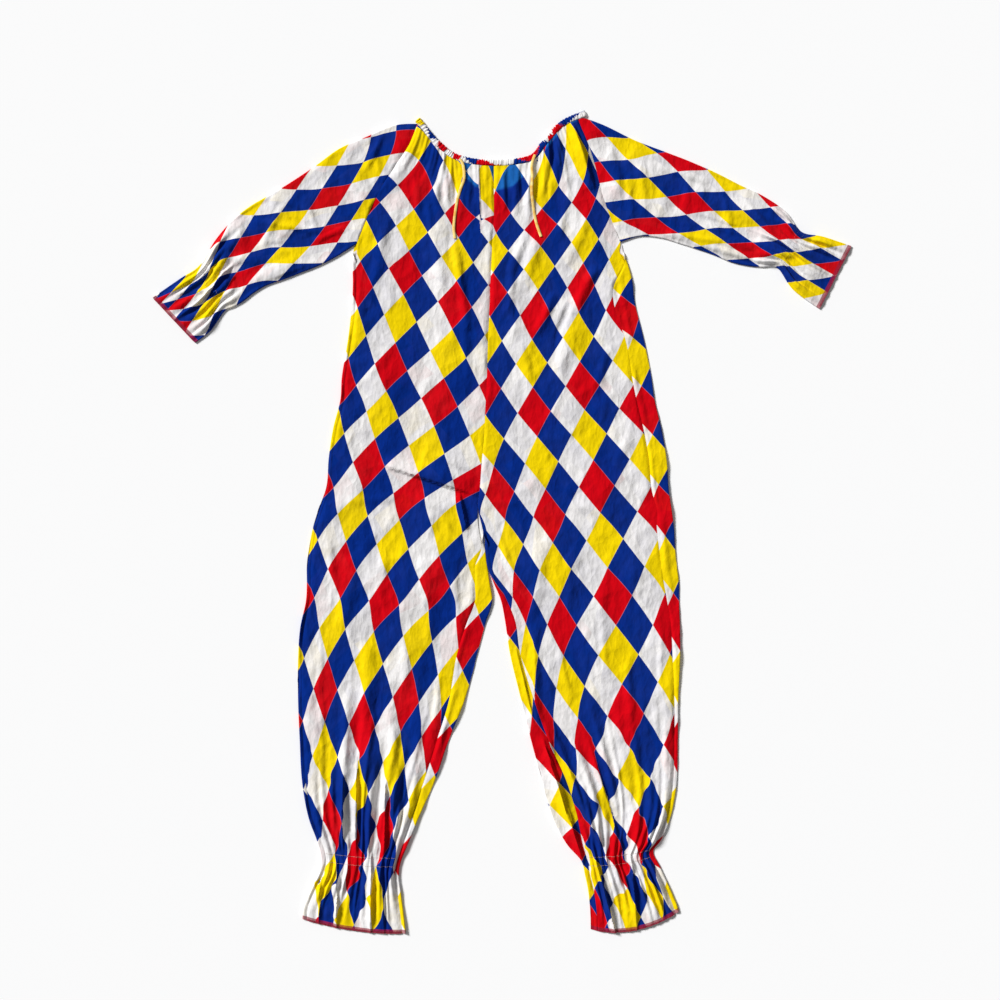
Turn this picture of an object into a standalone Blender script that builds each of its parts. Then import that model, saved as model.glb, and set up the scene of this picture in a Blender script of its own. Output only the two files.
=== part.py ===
"""Clown jumpsuit laid flat on its back: gathered neck, raglan sleeves, frilled cuffs and ankles.

Every piece is a wall of cloth in the place where it lies. The backs and the undersides of the
sleeves rest on the surface, and the edges of the backs turn up and lie doubled over. The fronts
and the tops of the sleeves lie on them, with the gathers and folds raised in them. Plan sizes
in the tables are millimetres: x to the right, y towards the neck. The meshes are in metres.
"""

import math
from collections import namedtuple

import bmesh
import bpy
import numpy as np
from mathutils import Vector
from mathutils.bvhtree import BVHTree

# Driving sizes, in millimetres.
WALL = 1.2  # thickness of the cloth
SEAM_GAP = 0.3  # free space between two pieces at a seam
BEND_RADIUS = 1.1  # radius of a doubled edge, to the middle of the wall
BEND_STEPS = 3  # straight stretches round a doubled edge
BEND_ANGLES = (60.0, 120.0)  # degrees round a fold's bend where it has points
TOP_HEIGHT = 2 * BEND_RADIUS + WALL  # upper face of cloth that lies on a back
EDGE_REACH = BEND_RADIUS + WALL / 2  # from a doubled edge's outline to its bend's middle
SHORTEST_WRAP = 3.0  # least straight cloth past a bend
STEEPEST_DROP = 2.2  # most that a slope may deepen a wall, times its thickness
FRONT_NECK_RUFFLE = 5.0  # height of the gathers where the front meets the casing
GATHER_MEAN = 0.78  # a gather's usual height, as a share of the tallest
GATHER_SPREAD = 0.22  # how far gathers differ from that
FOLD_TAPER = 0.6  # how blunt the ends of a fold are: less is blunter
YOKE_GAPS = 5  # stations from the neck to the armpit
NECK_STEPS = 12  # chords along a panel's neck edge
EDGE_SHARE = 0.1  # share of a back's columns given to each turned edge
SHARPEST_SMOOTH = 50.0  # degrees between faces that are still shaded as one surface
CASING_WIDTH = 11.0  # neck casing, neck edge to body edge
CASING_THICKNESS = 2.2  # neck casing with the drawstring inside
CASING_REST = 1.8  # thickness of the casing's stretch at the back
CASING_LIFT = 2.2  # underside of the casing's stretch at the front
CASING_WAVES = 22  # gathers along the front of the casing
CASING_WAVE_STEPS = 3
CASING_WAVE_HEIGHT = 1.6
CASING_SCALLOP = 0.8
CASING_BACK_STEPS = 26
CASING_GAP = 0.8  # free space between the casing and the cloth gathered into it
RAGLAN_GAP = 0.5  # free space between a sleeve and its body panel
TIE_WIDTH = 5.0
TIE_LIFT = 0.4  # free space under a tie
TIE_SPACING = 12.0  # between the points of a tie, about two and a half widths
TIE_FOOTING = 0.6  # reach to each side where a tie feels for the cloth, in widths
TIE_READINGS = 200  # places read along a tie's route to space its points
FADING_ROWS = 4.0  # rows over which a panel's curved first row straightens
CUFF_WAVES = 7
CUFF_GAPS = 3  # stations from a cuff's gathers to its hem
SLEEVE_STEPS = 10  # columns on the top of a sleeve above its cuff
CUFF_WAVE_STEPS = 3
ORIGIN = (0.0, 2.3)
MM = 0.001

# Yoke rows run from the raglan seam to the centre seam, from just below the neck to the armpit.
# The first row of each yoke follows the neck casing and has no line here.
Yoke = namedtuple("Yoke", "side_x side_y mid_x mid_y ruffle")
FRONT_YOKE_LEFT = (
    Yoke(-170, 690, -15, 612, 3.6),
    Yoke(-195, 653, -15, 562, 2.2),
    Yoke(-223, 608, -18, 510, 1.0),
    Yoke(-243, 565, -20, 462, 0.4),
    Yoke(-265, 511, -22, 425, 0.0),
)
FRONT_YOKE_RIGHT = (
    Yoke(160, 684, -15, 612, 3.6),
    Yoke(172, 644, -15, 562, 2.2),
    Yoke(182, 604, -18, 510, 1.0),
    Yoke(196, 562, -20, 462, 0.4),
    Yoke(215, 514, -22, 425, 0.0),
)
BACK_YOKE_LEFT = (
    Yoke(-135, 648, -16, 568, 0.0),
    Yoke(-159, 619, -16, 534, 0.0),
    Yoke(-190, 584, -18, 496, 0.0),
    Yoke(-224, 549, -20, 459, 0.0),
    Yoke(-265, 511, -22, 425, 0.0),
)
BACK_YOKE_RIGHT = (
    Yoke(110, 662, -16, 568, 0.0),
    Yoke(131, 626, -16, 534, 0.0),
    Yoke(157, 588, -18, 496, 0.0),
    Yoke(184, 551, -20, 459, 0.0),
    Yoke(215, 514, -22, 425, 0.0),
)

# Torso rows run from side to side. A wrap is the width of back that lies doubled over the
# front at that side, and turn is how far its edge is turned up: 0 flat, 180 doubled over.
Torso = namedtuple("Torso", "left_x left_y mid_x mid_y right_x right_y left_wrap right_wrap turn")
TORSO = (
    Torso(-271, 495, -22, 409, 221, 496, 5, 5, 0),
    Torso(-273, 474, -23, 392, 229, 474, 5, 5, 180),
    Torso(-272, 440, -24, 366, 238, 441, 5, 34, 180),
    Torso(-274, 397, -26, 332, 243, 398, 5, 36, 180),
    Torso(-281, 335, -27, 284, 259, 334, 5, 31, 180),
    Torso(-292, 268, -29, 236, 272, 268, 5, 33, 180),
    Torso(-295, 224, -31, 198, 279, 222, 5, 31, 180),
    Torso(-308, 173, -33, 156, 292, 167, 5, 31, 180),
    Torso(-316, 119, -37, 111, 301, 112, 5, 31, 180),
    Torso(-320, 68, -40, 68, 304, 64, 5, 30, 180),
    Torso(-335, 24, -44, 29, 310, 22, 5, 26, 180),
)

# Leg rows run from the outer edge to the inner one, from the crotch to the hem of the frill.
# Ruffle is the height of the gathers, and bow how far the row's middle lies below its ends.
Leg = namedtuple(
    "Leg", "outer_x outer_y inner_x inner_y outer_wrap inner_wrap inner_turn ruffle bow"
)
LEG_LEFT = (
    Leg(-345, -9, -36, -9, 5, 5, 0, 0.0, 0),
    Leg(-352, -46, -31, -46, 5, 5, 180, 0.0, 0),
    Leg(-356, -78, -27, -78, 5, 20, 180, 0.0, 0),
    Leg(-356, -111, -22, -110, 5, 26, 180, 0.0, 0),
    Leg(-358, -144, -18, -144, 5, 30, 180, 0.0, 0),
    Leg(-368, -191, -31, -186, 5, 33, 180, 0.4, 0),
    Leg(-372, -246, -46, -241, 5, 35, 180, 0.8, 0),
    Leg(-372, -323, -68, -323, 5, 27, 180, 1.4, 0),
    Leg(-369, -396, -97, -396, 5, 20, 180, 2.4, 0),
    Leg(-365, -469, -122, -469, 5, 18, 180, 3.8, 0),
    Leg(-354, -533, -150, -533, 5, 12, 180, 5.6, 2),
    Leg(-338, -578, -170, -582, 6, 8, 180, 7.0, 3),
    Leg(-330, -608, -184, -617, 7, 6, 180, 5.5, 4),
    Leg(-332, -633, -188, -641, 6, 5, 180, 8.0, 4),
    Leg(-347, -666, -184, -675, 5, 5, 180, 9.0, 5),
    Leg(-361, -699, -179, -714, 5, 5, 180, 9.5, 7),
    Leg(-364, -722, -175, -748, 5, 5, 180, 9.0, 8),
)
LEG_RIGHT = (
    Leg(314, -9, -36, -9, 30, 5, 0, 0.0, 0),
    Leg(316, -46, -31, -46, 28, 5, 180, 0.0, 0),
    Leg(319, -78, -27, -78, 27, 6, 180, 0.0, 0),
    Leg(323, -110, -15, -110, 26, 7, 180, 0.0, 0),
    Leg(323, -144, -2, -141, 20, 9, 180, 0.0, 0),
    Leg(325, -191, 6, -181, 15, 17, 180, 0.4, 0),
    Leg(325, -250, 15, -241, 12, 17, 180, 0.8, 0),
    Leg(322, -323, 35, -323, 6, 22, 180, 1.4, 0),
    Leg(321, -396, 53, -396, 5, 30, 180, 2.4, 0),
    Leg(319, -469, 73, -469, 5, 42, 180, 3.8, 0),
    Leg(310, -527, 91, -533, 5, 44, 180, 5.6, 2),
    Leg(292, -575, 117, -584, 6, 28, 180, 7.0, 4),
    Leg(276, -599, 144, -615, 6, 10, 180, 5.5, 6),
    Leg(288, -626, 151, -641, 5, 8, 180, 8.0, 8),
    Leg(303, -659, 157, -670, 5, 9, 180, 9.0, 11),
    Leg(316, -688, 161, -706, 5, 10, 180, 9.5, 15),
    Leg(323, -708, 162, -741, 5, 10, 180, 9.0, 18),
)

# Sleeve rows run from the upper fold to the lower one, from the raglan seam to the cuff's hem.
Sleeve = namedtuple("Sleeve", "upper_x upper_y lower_x lower_y ruffle")
SLEEVE_LEFT = (
    Sleeve(-168, 734, -266, 510, 0.0),
    Sleeve(-206, 728, -287, 496, 0.0),
    Sleeve(-257, 703, -308, 483, 0.0),
    Sleeve(-299, 682, -336, 469, 0.0),
    Sleeve(-336, 654, -369, 456, 0.0),
    Sleeve(-376, 627, -400, 444, 0.5),
    Sleeve(-416, 602, -431, 433, 1.2),
    Sleeve(-460, 577, -454, 419, 2.4),
    Sleeve(-494, 549, -473, 404, 4.2),
    Sleeve(-523, 515, -491, 394, 5.4),
    Sleeve(-551, 470, -507, 386, 4.4),
    Sleeve(-586, 446, -532, 351, 6.4),
    Sleeve(-637, 411, -560, 329, 7.4),
)
SLEEVE_RIGHT = (
    Sleeve(164, 746, 216, 513, 0.0),
    Sleeve(197, 729, 252, 524, 0.0),
    Sleeve(246, 700, 292, 520, 0.0),
    Sleeve(296, 678, 325, 510, 0.0),
    Sleeve(343, 659, 356, 500, 0.0),
    Sleeve(391, 638, 385, 490, 0.5),
    Sleeve(434, 616, 416, 477, 1.4),
    Sleeve(478, 595, 445, 470, 3.2),
    Sleeve(518, 567, 474, 467, 5.4),
    Sleeve(546, 531, 503, 465, 4.4),
    Sleeve(586, 522, 531, 426, 6.4),
    Sleeve(637, 505, 579, 391, 7.4),
)

# The neck casing's middle line from the left shoulder to the right one, at the front and back.
Point = namedtuple("Point", "x y")
NECK_FRONT = (
    Point(-153, 734), Point(-117, 692), Point(-77, 665), Point(-15, 657),
    Point(51, 665), Point(80, 697), Point(110, 728), Point(151, 747),
)
NECK_BACK = (
    Point(-153, 734), Point(-113, 683), Point(-80, 645), Point(-49, 617), Point(-15, 608),
    Point(20, 617), Point(53, 649), Point(84, 690), Point(112, 722), Point(151, 747),
)
# Where the raglan and centre seams meet the casing, counted in its points.
NECK_SEAMS = {"raglan_left": 0.12, "centre": 3.0, "raglan_right": 6.6}
NECK_BACK_SEAMS = {
    "shoulder_left": 0.2, "raglan_left": 1.0, "centre": 4.0, "raglan_right": 7.2,
    "shoulder_right": 8.8,
}

# Folds: a soft ridge from one point to another, with its height and its width to each side.
Fold = namedtuple("Fold", "x0 y0 x1 y1 height width")
FOLDS_LEFT = (
    Fold(-113, 523, -111, 398, 4.0, 18),  # chest, beside the centre seam
    Fold(-195, 470, -212, 380, 2.5, 24),  # below the arm
    Fold(-190, 372, -172, 322, 2.5, 20),  # ribs
    Fold(-214, 112, -50, 70, 8.0, 22),  # drag line to the crotch
    Fold(-274, -60, -290, -215, 4.0, 26),  # outer thigh
    Fold(-138, -60, -128, -240, 4.0, 26),  # inner thigh
    Fold(-283, -300, -290, -596, 7.0, 20),  # outer shin
    Fold(-243, -215, -248, -596, 8.0, 22),  # middle of the leg
    Fold(-200, -305, -198, -590, 7.0, 20),  # inner shin
    Fold(-152, -320, -166, -560, 5.0, 18),  # beside the inseam
)
FOLDS_RIGHT = (
    Fold(128, 712, 160, 606, 7.0, 15),  # roll from the neck along the raglan seam
    Fold(64, 530, 42, 420, 4.0, 20),  # chest
    Fold(128, 360, 100, 252, 4.0, 22),  # belly
    Fold(178, 226, 160, 120, 3.0, 26),  # waist
    Fold(70, -30, 60, -180, 4.0, 20),  # front of the thigh
    Fold(58, -185, 60, -365, 5.5, 18),  # fold above the knee
    Fold(36, -300, 190, -600, 11.0, 26),  # great roll down the inner leg
    Fold(118, -390, 212, -598, 8.0, 18),  # second roll beside it
    Fold(240, -505, 252, -597, 7.0, 16),  # pleat into the elastic
    Fold(280, -430, 268, -590, 5.0, 20),  # outer shin
)
FOLDS_SLEEVE_LEFT = (
    Fold(-455, 545, -320, 522, 3.5, 20),  # along the forearm
    Fold(-520, 482, -430, 478, 4.5, 16),  # above the cuff
    Fold(-478, 428, -370, 480, 3.5, 18),  # along the under edge
    Fold(-270, 660, -252, 570, 2.5, 22),  # upper arm
)
FOLDS_SLEEVE_RIGHT = (
    Fold(330, 610, 480, 545, 3.5, 20),  # along the forearm
    Fold(372, 520, 486, 500, 4.5, 16),  # above the cuff
    Fold(196, 690, 212, 590, 5.0, 18),  # roll beside the raglan seam
    Fold(300, 600, 282, 548, 2.5, 22),  # upper arm
)

# The ties' routes over the front, from the eyelets in the casing to their free ends.
TIE_LEFT = (
    Point(-77, 663), Point(-71, 652), Point(-69, 628), Point(-75, 610),
    Point(-81, 590), Point(-86, 560), Point(-88, 538), Point(-86, 519),
)
TIE_RIGHT = (
    Point(60, 671), Point(54, 652), Point(55, 631), Point(54, 604),
    Point(57, 577), Point(62, 549), Point(71, 522),
)

# Zones of a panel, in stations from the neck: the rows in each gap between two stations, and
# for a front its gathers and the columns in each, for a back the columns of its flat part.
FrontZone = namedtuple("FrontZone", "start end rows waves steps")
BackZone = namedtuple("BackZone", "start end rows columns")
FRONT_ZONES = (
    FrontZone(0, 3, 2, 8, 3),
    FrontZone(3, 5, 2, 8, 2),
    FrontZone(5, 17, 1, 8, 2),
    FrontZone(17, 18, 3, 8, 2),
    FrontZone(18, 27, 1, 11, 2),
    FrontZone(27, 29, 2, 11, 3),
    FrontZone(29, 33, 1, 11, 3),
)
BACK_ZONES = (
    BackZone(0, 1, 1, 13),
    BackZone(1, 6, 1, 3),
    BackZone(6, 7, 3, 3),
    BackZone(7, 17, 1, 3),
    BackZone(17, 18, 3, 3),
    BackZone(18, 27, 1, 3),
    BackZone(27, 29, 2, 3),
    BackZone(29, 33, 1, 3),
)

Finish = namedtuple("Finish", "name colour roughness")
PRINTED_COTTON = Finish("printed_cotton", (0.62, 0.60, 0.62), 0.85)
CASING_COTTON = Finish("casing_cotton", (0.55, 0.05, 0.10), 0.85)
YELLOW_CORD = Finish("yellow_cord", (0.90, 0.62, 0.10), 0.7)

Station = namedtuple(
    "Station", "side mid side_wrap mid_wrap side_turn mid_turn ruffle bow"
)


def clear_scene():
    """Remove every object, so that only the suit is left."""
    for item in list(bpy.data.objects):
        bpy.data.objects.remove(item, do_unlink=True)


def smooth_read(values, position):
    """Read a list of values at a fractional place, on a Catmull-Rom curve through them."""
    values = np.asarray(values, dtype=float)
    last = len(values) - 1
    index = int(min(max(math.floor(position), 0), last - 1))
    part = position - index
    before = values[max(index - 1, 0)]
    start = values[index]
    end = values[index + 1]
    after = values[min(index + 2, last)]
    linear = 0.5 * (end - before)
    square = before - 2.5 * start + 2.0 * end - 0.5 * after
    cube = 0.5 * (after - before) + 1.5 * (start - end)
    return start + linear * part + square * part**2 + cube * part**3


def line_point(line, position):
    """Return the plan point of a line of Points at a fractional place along them."""
    return smooth_read([(point.x, point.y) for point in line], position)


def body_side(line, position):
    """Return the unit vector across a neck line that points to the body."""
    step = 0.05
    last = len(line) - 1
    ahead = line_point(line, min(position + step, last))
    behind = line_point(line, max(position - step, 0.0))
    along = (ahead - behind) / np.linalg.norm(ahead - behind)
    return np.array((along[1], -along[0]))


def casing_edge(line, position):
    """Return the point just below the casing where cloth gathered into it starts."""
    reach = CASING_WIDTH / 2 + CASING_GAP
    return line_point(line, position) + reach * body_side(line, position)


def yoke_stations(rows, line, side_place, mid_place, ruffle):
    """Return the stations above the armpit, the first of them on the casing's edge."""
    side = casing_edge(line, side_place)
    mid = casing_edge(line, mid_place)
    stations = [Station(side, mid, 0, 0, 0, 0, ruffle, 0)]
    for row in rows:
        side = np.array((row.side_x, row.side_y), dtype=float)
        mid = np.array((row.mid_x, row.mid_y), dtype=float)
        stations.append(Station(side, mid, 0, 0, 0, 0, row.ruffle, 0))
    return stations


def torso_stations(left):
    """Return the stations from the armpit to the crotch of the left or the right half."""
    stations = []
    for row in TORSO:
        if left:
            side = np.array((row.left_x, row.left_y), dtype=float)
            wrap = row.left_wrap
        else:
            side = np.array((row.right_x, row.right_y), dtype=float)
            wrap = row.right_wrap
        mid = np.array((row.mid_x, row.mid_y), dtype=float)
        stations.append(Station(side, mid, wrap, 0, row.turn, 0, 0, 0))
    return stations


def leg_stations(rows):
    """Return the stations of one leg, from the crotch to the hem."""
    stations = []
    for row in rows:
        outer = np.array((row.outer_x, row.outer_y), dtype=float)
        inner = np.array((row.inner_x, row.inner_y), dtype=float)
        stations.append(
            Station(outer, inner, row.outer_wrap, row.inner_wrap, 180, row.inner_turn,
                    row.ruffle, row.bow)
        )
    return stations


def station_at(stations, position):
    """Read every column of the stations at a fractional place between them."""
    columns = []
    for column in zip(*stations):
        columns.append(smooth_read(np.array(column, dtype=float), position))
    station = Station(*columns)
    return station._replace(
        side_turn=min(max(float(station.side_turn), 0.0), 180.0),
        mid_turn=min(max(float(station.mid_turn), 0.0), 180.0),
        side_wrap=max(float(station.side_wrap), 0.0),
        mid_wrap=max(float(station.mid_wrap), 0.0),
        ruffle=max(float(station.ruffle), 0.0),
    )


def zone_rows(zones):
    """Return the place and the zone of each row, from the neck down."""
    rows = []
    for zone in zones:
        count = (zone.end - zone.start) * zone.rows
        first = 0 if not rows else 1
        for index in range(first, count + 1):
            rows.append((zone.start + index / zone.rows, zone))
    return rows


def ridge_height(point, folds):
    """Return how far the folds lift the cloth at a plan point, as a sum of soft ridges."""
    height = 0.0
    for fold in folds:
        start = np.array((fold.x0, fold.y0), dtype=float)
        along = np.array((fold.x1, fold.y1), dtype=float) - start
        length = np.linalg.norm(along)
        share = float(np.dot(point - start, along)) / length**2
        if not 0.0 < share < 1.0:
            continue
        across = abs(np.cross(along / length, point - start))
        if across >= fold.width:
            continue
        crown = math.cos(0.5 * math.pi * across / fold.width) ** 2
        ends = math.sin(math.pi * share) ** FOLD_TAPER
        height += fold.height * crown * ends
    return height


def gather_height(share, waves, ruffle):
    """Return the height of the gathers across a row: uneven waves that start in a trough."""
    if waves == 0 or ruffle <= 0.0:
        return 0.0
    wave = 0.5 - 0.5 * math.cos(2 * math.pi * waves * share)
    unevenness = GATHER_MEAN + GATHER_SPREAD * math.sin(2.4 * math.floor(waves * share) + 0.7)
    return ruffle * wave * unevenness


def uneven_share(share):
    """Shift a column's place a little, so that gathers differ in width."""
    return share + 0.010 * np.sin(6 * np.pi * share) + 0.006 * np.sin(10 * np.pi * share)


def lower_face(points, heights):
    """Return the heights of a wall's lower face, deeper where the row slopes."""
    spacing = np.linalg.norm(np.diff(points, axis=0), axis=1)
    slopes = np.abs(np.diff(heights)) / np.maximum(spacing, 0.1)
    slope = np.zeros(len(heights))
    slope[:-1] += 0.5 * slopes
    slope[1:] += 0.5 * slopes
    drop = WALL * np.minimum(np.sqrt(1.0 + slope**2), STEEPEST_DROP)
    floor = TOP_HEIGHT - WALL
    return np.maximum(heights - drop, floor)


def seam_inset(wrap):
    """Return how far inside the outline a front ends, for a wrap of this width."""
    share = min(wrap / SHORTEST_WRAP, 1.0)
    return SEAM_GAP / 2 + wrap + share * (EDGE_REACH + SEAM_GAP / 2)


def fading(position):
    """Return how much of the first row's curve is left in a row: all at 0, none past 4."""
    return max(1.0 - position / FADING_ROWS, 0.0) ** 2


def row_point(station, position, neck, reach):
    """Return the plan point of a panel's row at a distance from its side end.

    The row is straight, apart from its bow and from what is left of the neck's curve.
    """
    across = station.mid - station.side
    width = np.linalg.norm(across)
    place = min(max(reach / width, 0.0), 1.0)
    straight = station.side + across / width * reach
    bowed = straight - np.array((0.0, station.bow * 4 * place * (1 - place)))
    chord = neck[0] + (neck[-1] - neck[0]) * place
    bulge = smooth_read(neck, place * (len(neck) - 1)) - chord
    return bowed + fading(position) * bulge


def front_row(stations, position, neck, zone, folds):
    """Return the upper and lower points of one row of a front, and each column's share."""
    station = station_at(stations, position)
    width = np.linalg.norm(station.mid - station.side)
    start = seam_inset(station.side_wrap)
    end = width - seam_inset(station.mid_wrap)
    shares = np.linspace(0.0, 1.0, zone.waves * zone.steps + 1)
    points = []
    heights = []
    for share in shares:
        reach = start + (end - start) * uneven_share(share)
        point = row_point(station, position, neck, reach)
        points.append(point)
        lift = gather_height(share, zone.waves, station.ruffle) + ridge_height(point, folds)
        heights.append(TOP_HEIGHT + lift)
    points = np.array(points)
    heights = np.array(heights)
    upper = np.column_stack((points, heights))
    lower = np.column_stack((points, lower_face(points, heights)))
    return upper, lower, shares


def neck_samples(line, start, end):
    """Return points along a panel's neck edge, from its raglan seam to its centre seam."""
    places = np.linspace(start, end, NECK_STEPS + 1)
    return [casing_edge(line, place) for place in places]


def front_rows(stations, neck, folds):
    """Return all the rows of one front, from the neck to the ankle's hem."""
    return [
        front_row(stations, position, neck, zone, folds)
        for position, zone in zone_rows(FRONT_ZONES)
    ]


def turned_edge(width, wrap, turn):
    """Return the outer and inner profile of a back's edge, from its flat part to its end.

    Each profile holds the distance from the row's start, growing towards this edge, and the
    height. The middle of the wall runs flat, round an arc of the turn, and straight for the
    wrap, and the two faces lie half a wall to each side of it.
    """
    wrap = max(wrap, SHORTEST_WRAP)
    arc = math.pi * BEND_RADIUS
    flat_start = width - SEAM_GAP / 2 - wrap - arc
    turned_start = width - EDGE_REACH
    share = turn / 180.0
    middle = np.array((flat_start + (turned_start - flat_start) * share, WALL / 2))
    middles = [middle]
    for step in range(BEND_STEPS):
        angle = math.radians(turn * (step + 0.5) / BEND_STEPS)
        middle = middle + arc / BEND_STEPS * np.array((math.cos(angle), math.sin(angle)))
        middles.append(middle)
    angle = math.radians(turn)
    middles.append(middle + wrap * np.array((math.cos(angle), math.sin(angle))))
    outer = []
    inner = []
    for index, middle in enumerate(middles):
        angle = math.radians(turn * min(index, BEND_STEPS) / BEND_STEPS)
        across = np.array((math.sin(angle), -math.cos(angle))) * WALL / 2
        outer.append(middle + across)
        inner.append(middle - across)
    return outer, inner


def back_row(stations, position, neck, zone):
    """Return the outer and inner points of one row of a back, and each column's share."""
    station = station_at(stations, position)
    width = np.linalg.norm(station.mid - station.side)
    mid_outer, mid_inner = turned_edge(width, station.mid_wrap, station.mid_turn)
    side_outer, side_inner = turned_edge(width, station.side_wrap, station.side_turn)
    columns = np.linspace(0.0, 1.0, zone.columns + 2)[1:-1]
    side_flat = width - side_outer[0][0]
    mid_flat = mid_outer[0][0]
    reaches = [side_flat + (mid_flat - side_flat) * column for column in columns]
    flat = [(reach, 0.0) for reach in reaches]
    raised = [(reach, WALL) for reach in reaches]
    mirrored_outer = [(width - reach, height) for reach, height in reversed(side_outer)]
    mirrored_inner = [(width - reach, height) for reach, height in reversed(side_inner)]
    faces = []
    for profile in (mirrored_outer + flat + mid_outer, mirrored_inner + raised + mid_inner):
        points = []
        for reach, height in profile:
            point = row_point(station, position, neck, reach)
            points.append((point[0], point[1], height))
        faces.append(np.array(points))
    edge = np.linspace(0.0, EDGE_SHARE, len(side_outer))
    middle = EDGE_SHARE + (1.0 - 2 * EDGE_SHARE) * columns
    shares = np.concatenate((edge, middle, 1.0 - EDGE_SHARE + edge))
    return faces[0], faces[1], shares


def back_rows(stations, neck):
    """Return all the rows of one back, from the neck to the ankle's hem."""
    return [back_row(stations, place, neck, zone) for place, zone in zone_rows(BACK_ZONES)]


def sleeve_chord(row, places):
    """Return straight points across a sleeve, at places from its upper bend to its lower."""
    upper = np.array((row[0], row[1]))
    lower = np.array((row[2], row[3]))
    along = (lower - upper) / np.linalg.norm(lower - upper)
    start = upper + along * EDGE_REACH
    end = lower - along * EDGE_REACH
    return start + (end - start) * np.asarray(places)[:, None]


def sleeve_row(row, top_bulge, under_bulge, waves, folds):
    """Return the outer and inner points round one ring of a sleeve, and their shares."""
    upper = np.array((row[0], row[1]))
    lower = np.array((row[2], row[3]))
    ruffle = max(float(row[4]), 0.0)
    along = (lower - upper) / np.linalg.norm(lower - upper)
    columns = len(top_bulge)
    shares = np.linspace(0.0, 1.0, columns)
    top_points = sleeve_chord(row, uneven_share(shares)) + top_bulge
    under = (sleeve_chord(row, np.linspace(0.0, 1.0, len(under_bulge))) + under_bulge)[::-1]
    heights = []
    for share, point in zip(shares, top_points):
        lift = gather_height(share, waves, ruffle) + ridge_height(point, folds)
        heights.append(TOP_HEIGHT + lift)
    heights = np.array(heights)
    top_outer = np.column_stack((top_points, heights))
    top_inner = np.column_stack((top_points, lower_face(top_points, heights)))
    low_outer = np.column_stack((under, np.zeros(len(under))))
    low_inner = np.column_stack((under, np.full(len(under), WALL)))
    lower_bend = bend_points(lower - along * EDGE_REACH, along)
    upper_bend = bend_points(upper + along * EDGE_REACH, -along)
    outer = np.vstack((top_outer, lower_bend[0], low_outer, upper_bend[0][::-1]))
    inner = np.vstack((top_inner, lower_bend[1], low_inner, upper_bend[1][::-1]))
    shares = np.concatenate((
        np.linspace(0.0, 1.0, columns), (1.3, 1.7), np.linspace(2.0, 3.0, len(under)), (3.3, 3.7),
    ))
    return outer, inner, shares


def bend_points(centre, away):
    """Return the two outer and two inner points round a fold's bend, from top to bottom."""
    outer = []
    inner = []
    for angle in BEND_ANGLES:
        reach = math.sin(math.radians(angle))
        rise = math.cos(math.radians(angle))
        for faces, radius in ((outer, EDGE_REACH), (inner, EDGE_REACH - WALL)):
            plan = centre + away * radius * reach
            faces.append((plan[0], plan[1], TOP_HEIGHT / 2 + radius * rise))
    return np.array(outer), np.array(inner)


def sleeve_rows(table, raglan_top, raglan_under, folds):
    """Return the rings of one sleeve, from the raglan seam to the cuff's hem.

    The first ring follows the raglan seam, and the next ones keep a fading part of its curve.
    """
    table = np.array(table, dtype=float)
    top_places = uneven_share(np.linspace(0.0, 1.0, len(raglan_top)))
    under_places = np.linspace(0.0, 1.0, len(raglan_under))
    top_bulge = np.array(raglan_top) - sleeve_chord(table[0], top_places)
    under_bulge = np.array(raglan_under) - sleeve_chord(table[0], under_places)
    cuff_start = len(table) - CUFF_GAPS - 1
    rows = []
    for place in range(cuff_start + 1):
        fade = fading(place)
        rows.append(sleeve_row(table[place], fade * top_bulge, fade * under_bulge, 0, folds))
    plain_top = np.zeros((CUFF_WAVES * CUFF_WAVE_STEPS + 1, 2))
    plain_under = 0.0 * under_bulge
    for step in range(1, 2 * CUFF_GAPS + 1):
        row = smooth_read(table, cuff_start + 0.5 * step)
        rows.append(sleeve_row(row, plain_top, plain_under, CUFF_WAVES, folds))
    return rows


def raglan_lines(front, back, line, shoulder, outward):
    """Return a sleeve's edge on the front and on the back, just outside the body's panels."""
    shift = np.array((outward * RAGLAN_GAP, RAGLAN_GAP * 0.5))
    places = np.linspace(0.0, YOKE_GAPS, SLEEVE_STEPS + 1)
    top = [station_at(front, place).side + shift for place in places]
    under = [casing_edge(line, shoulder) + shift]
    under += [station_at(back, place).side + shift for place in range(YOKE_GAPS + 1)]
    return top, under


def casing_rings():
    """Return the four corners of each section round the neck casing, as one closed band."""
    rings = []
    steps = CASING_WAVES * CASING_WAVE_STEPS
    front_middle = CASING_LIFT + CASING_THICKNESS / 2
    back_middle = CASING_REST / 2
    up = np.array((0.0, 0.0, 1.0))
    for index in range(steps + 1):
        place = (len(NECK_FRONT) - 1) * index / steps
        lift = gather_height(index / steps, CASING_WAVES, CASING_WAVE_HEIGHT)
        scallop = CASING_SCALLOP * math.cos(2 * math.pi * index / CASING_WAVE_STEPS)
        point = (*line_point(NECK_FRONT, place), front_middle)
        side = (*body_side(NECK_FRONT, place), 0.0)
        rings.append(casing_ring(point, side, up, CASING_THICKNESS, lift, scallop))
    rings += casing_turn(NECK_FRONT, len(NECK_FRONT) - 1, front_middle, back_middle, False)
    for index in range(CASING_BACK_STEPS + 1):
        place = (len(NECK_BACK) - 1) * (1 - index / CASING_BACK_STEPS)
        point = (*line_point(NECK_BACK, place), back_middle)
        side = (*body_side(NECK_BACK, place), 0.0)
        rings.append(casing_ring(point, side, -up, CASING_REST, 0.0, 0.0))
    rings += casing_turn(NECK_FRONT, 0, front_middle, back_middle, True)
    return rings


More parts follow.
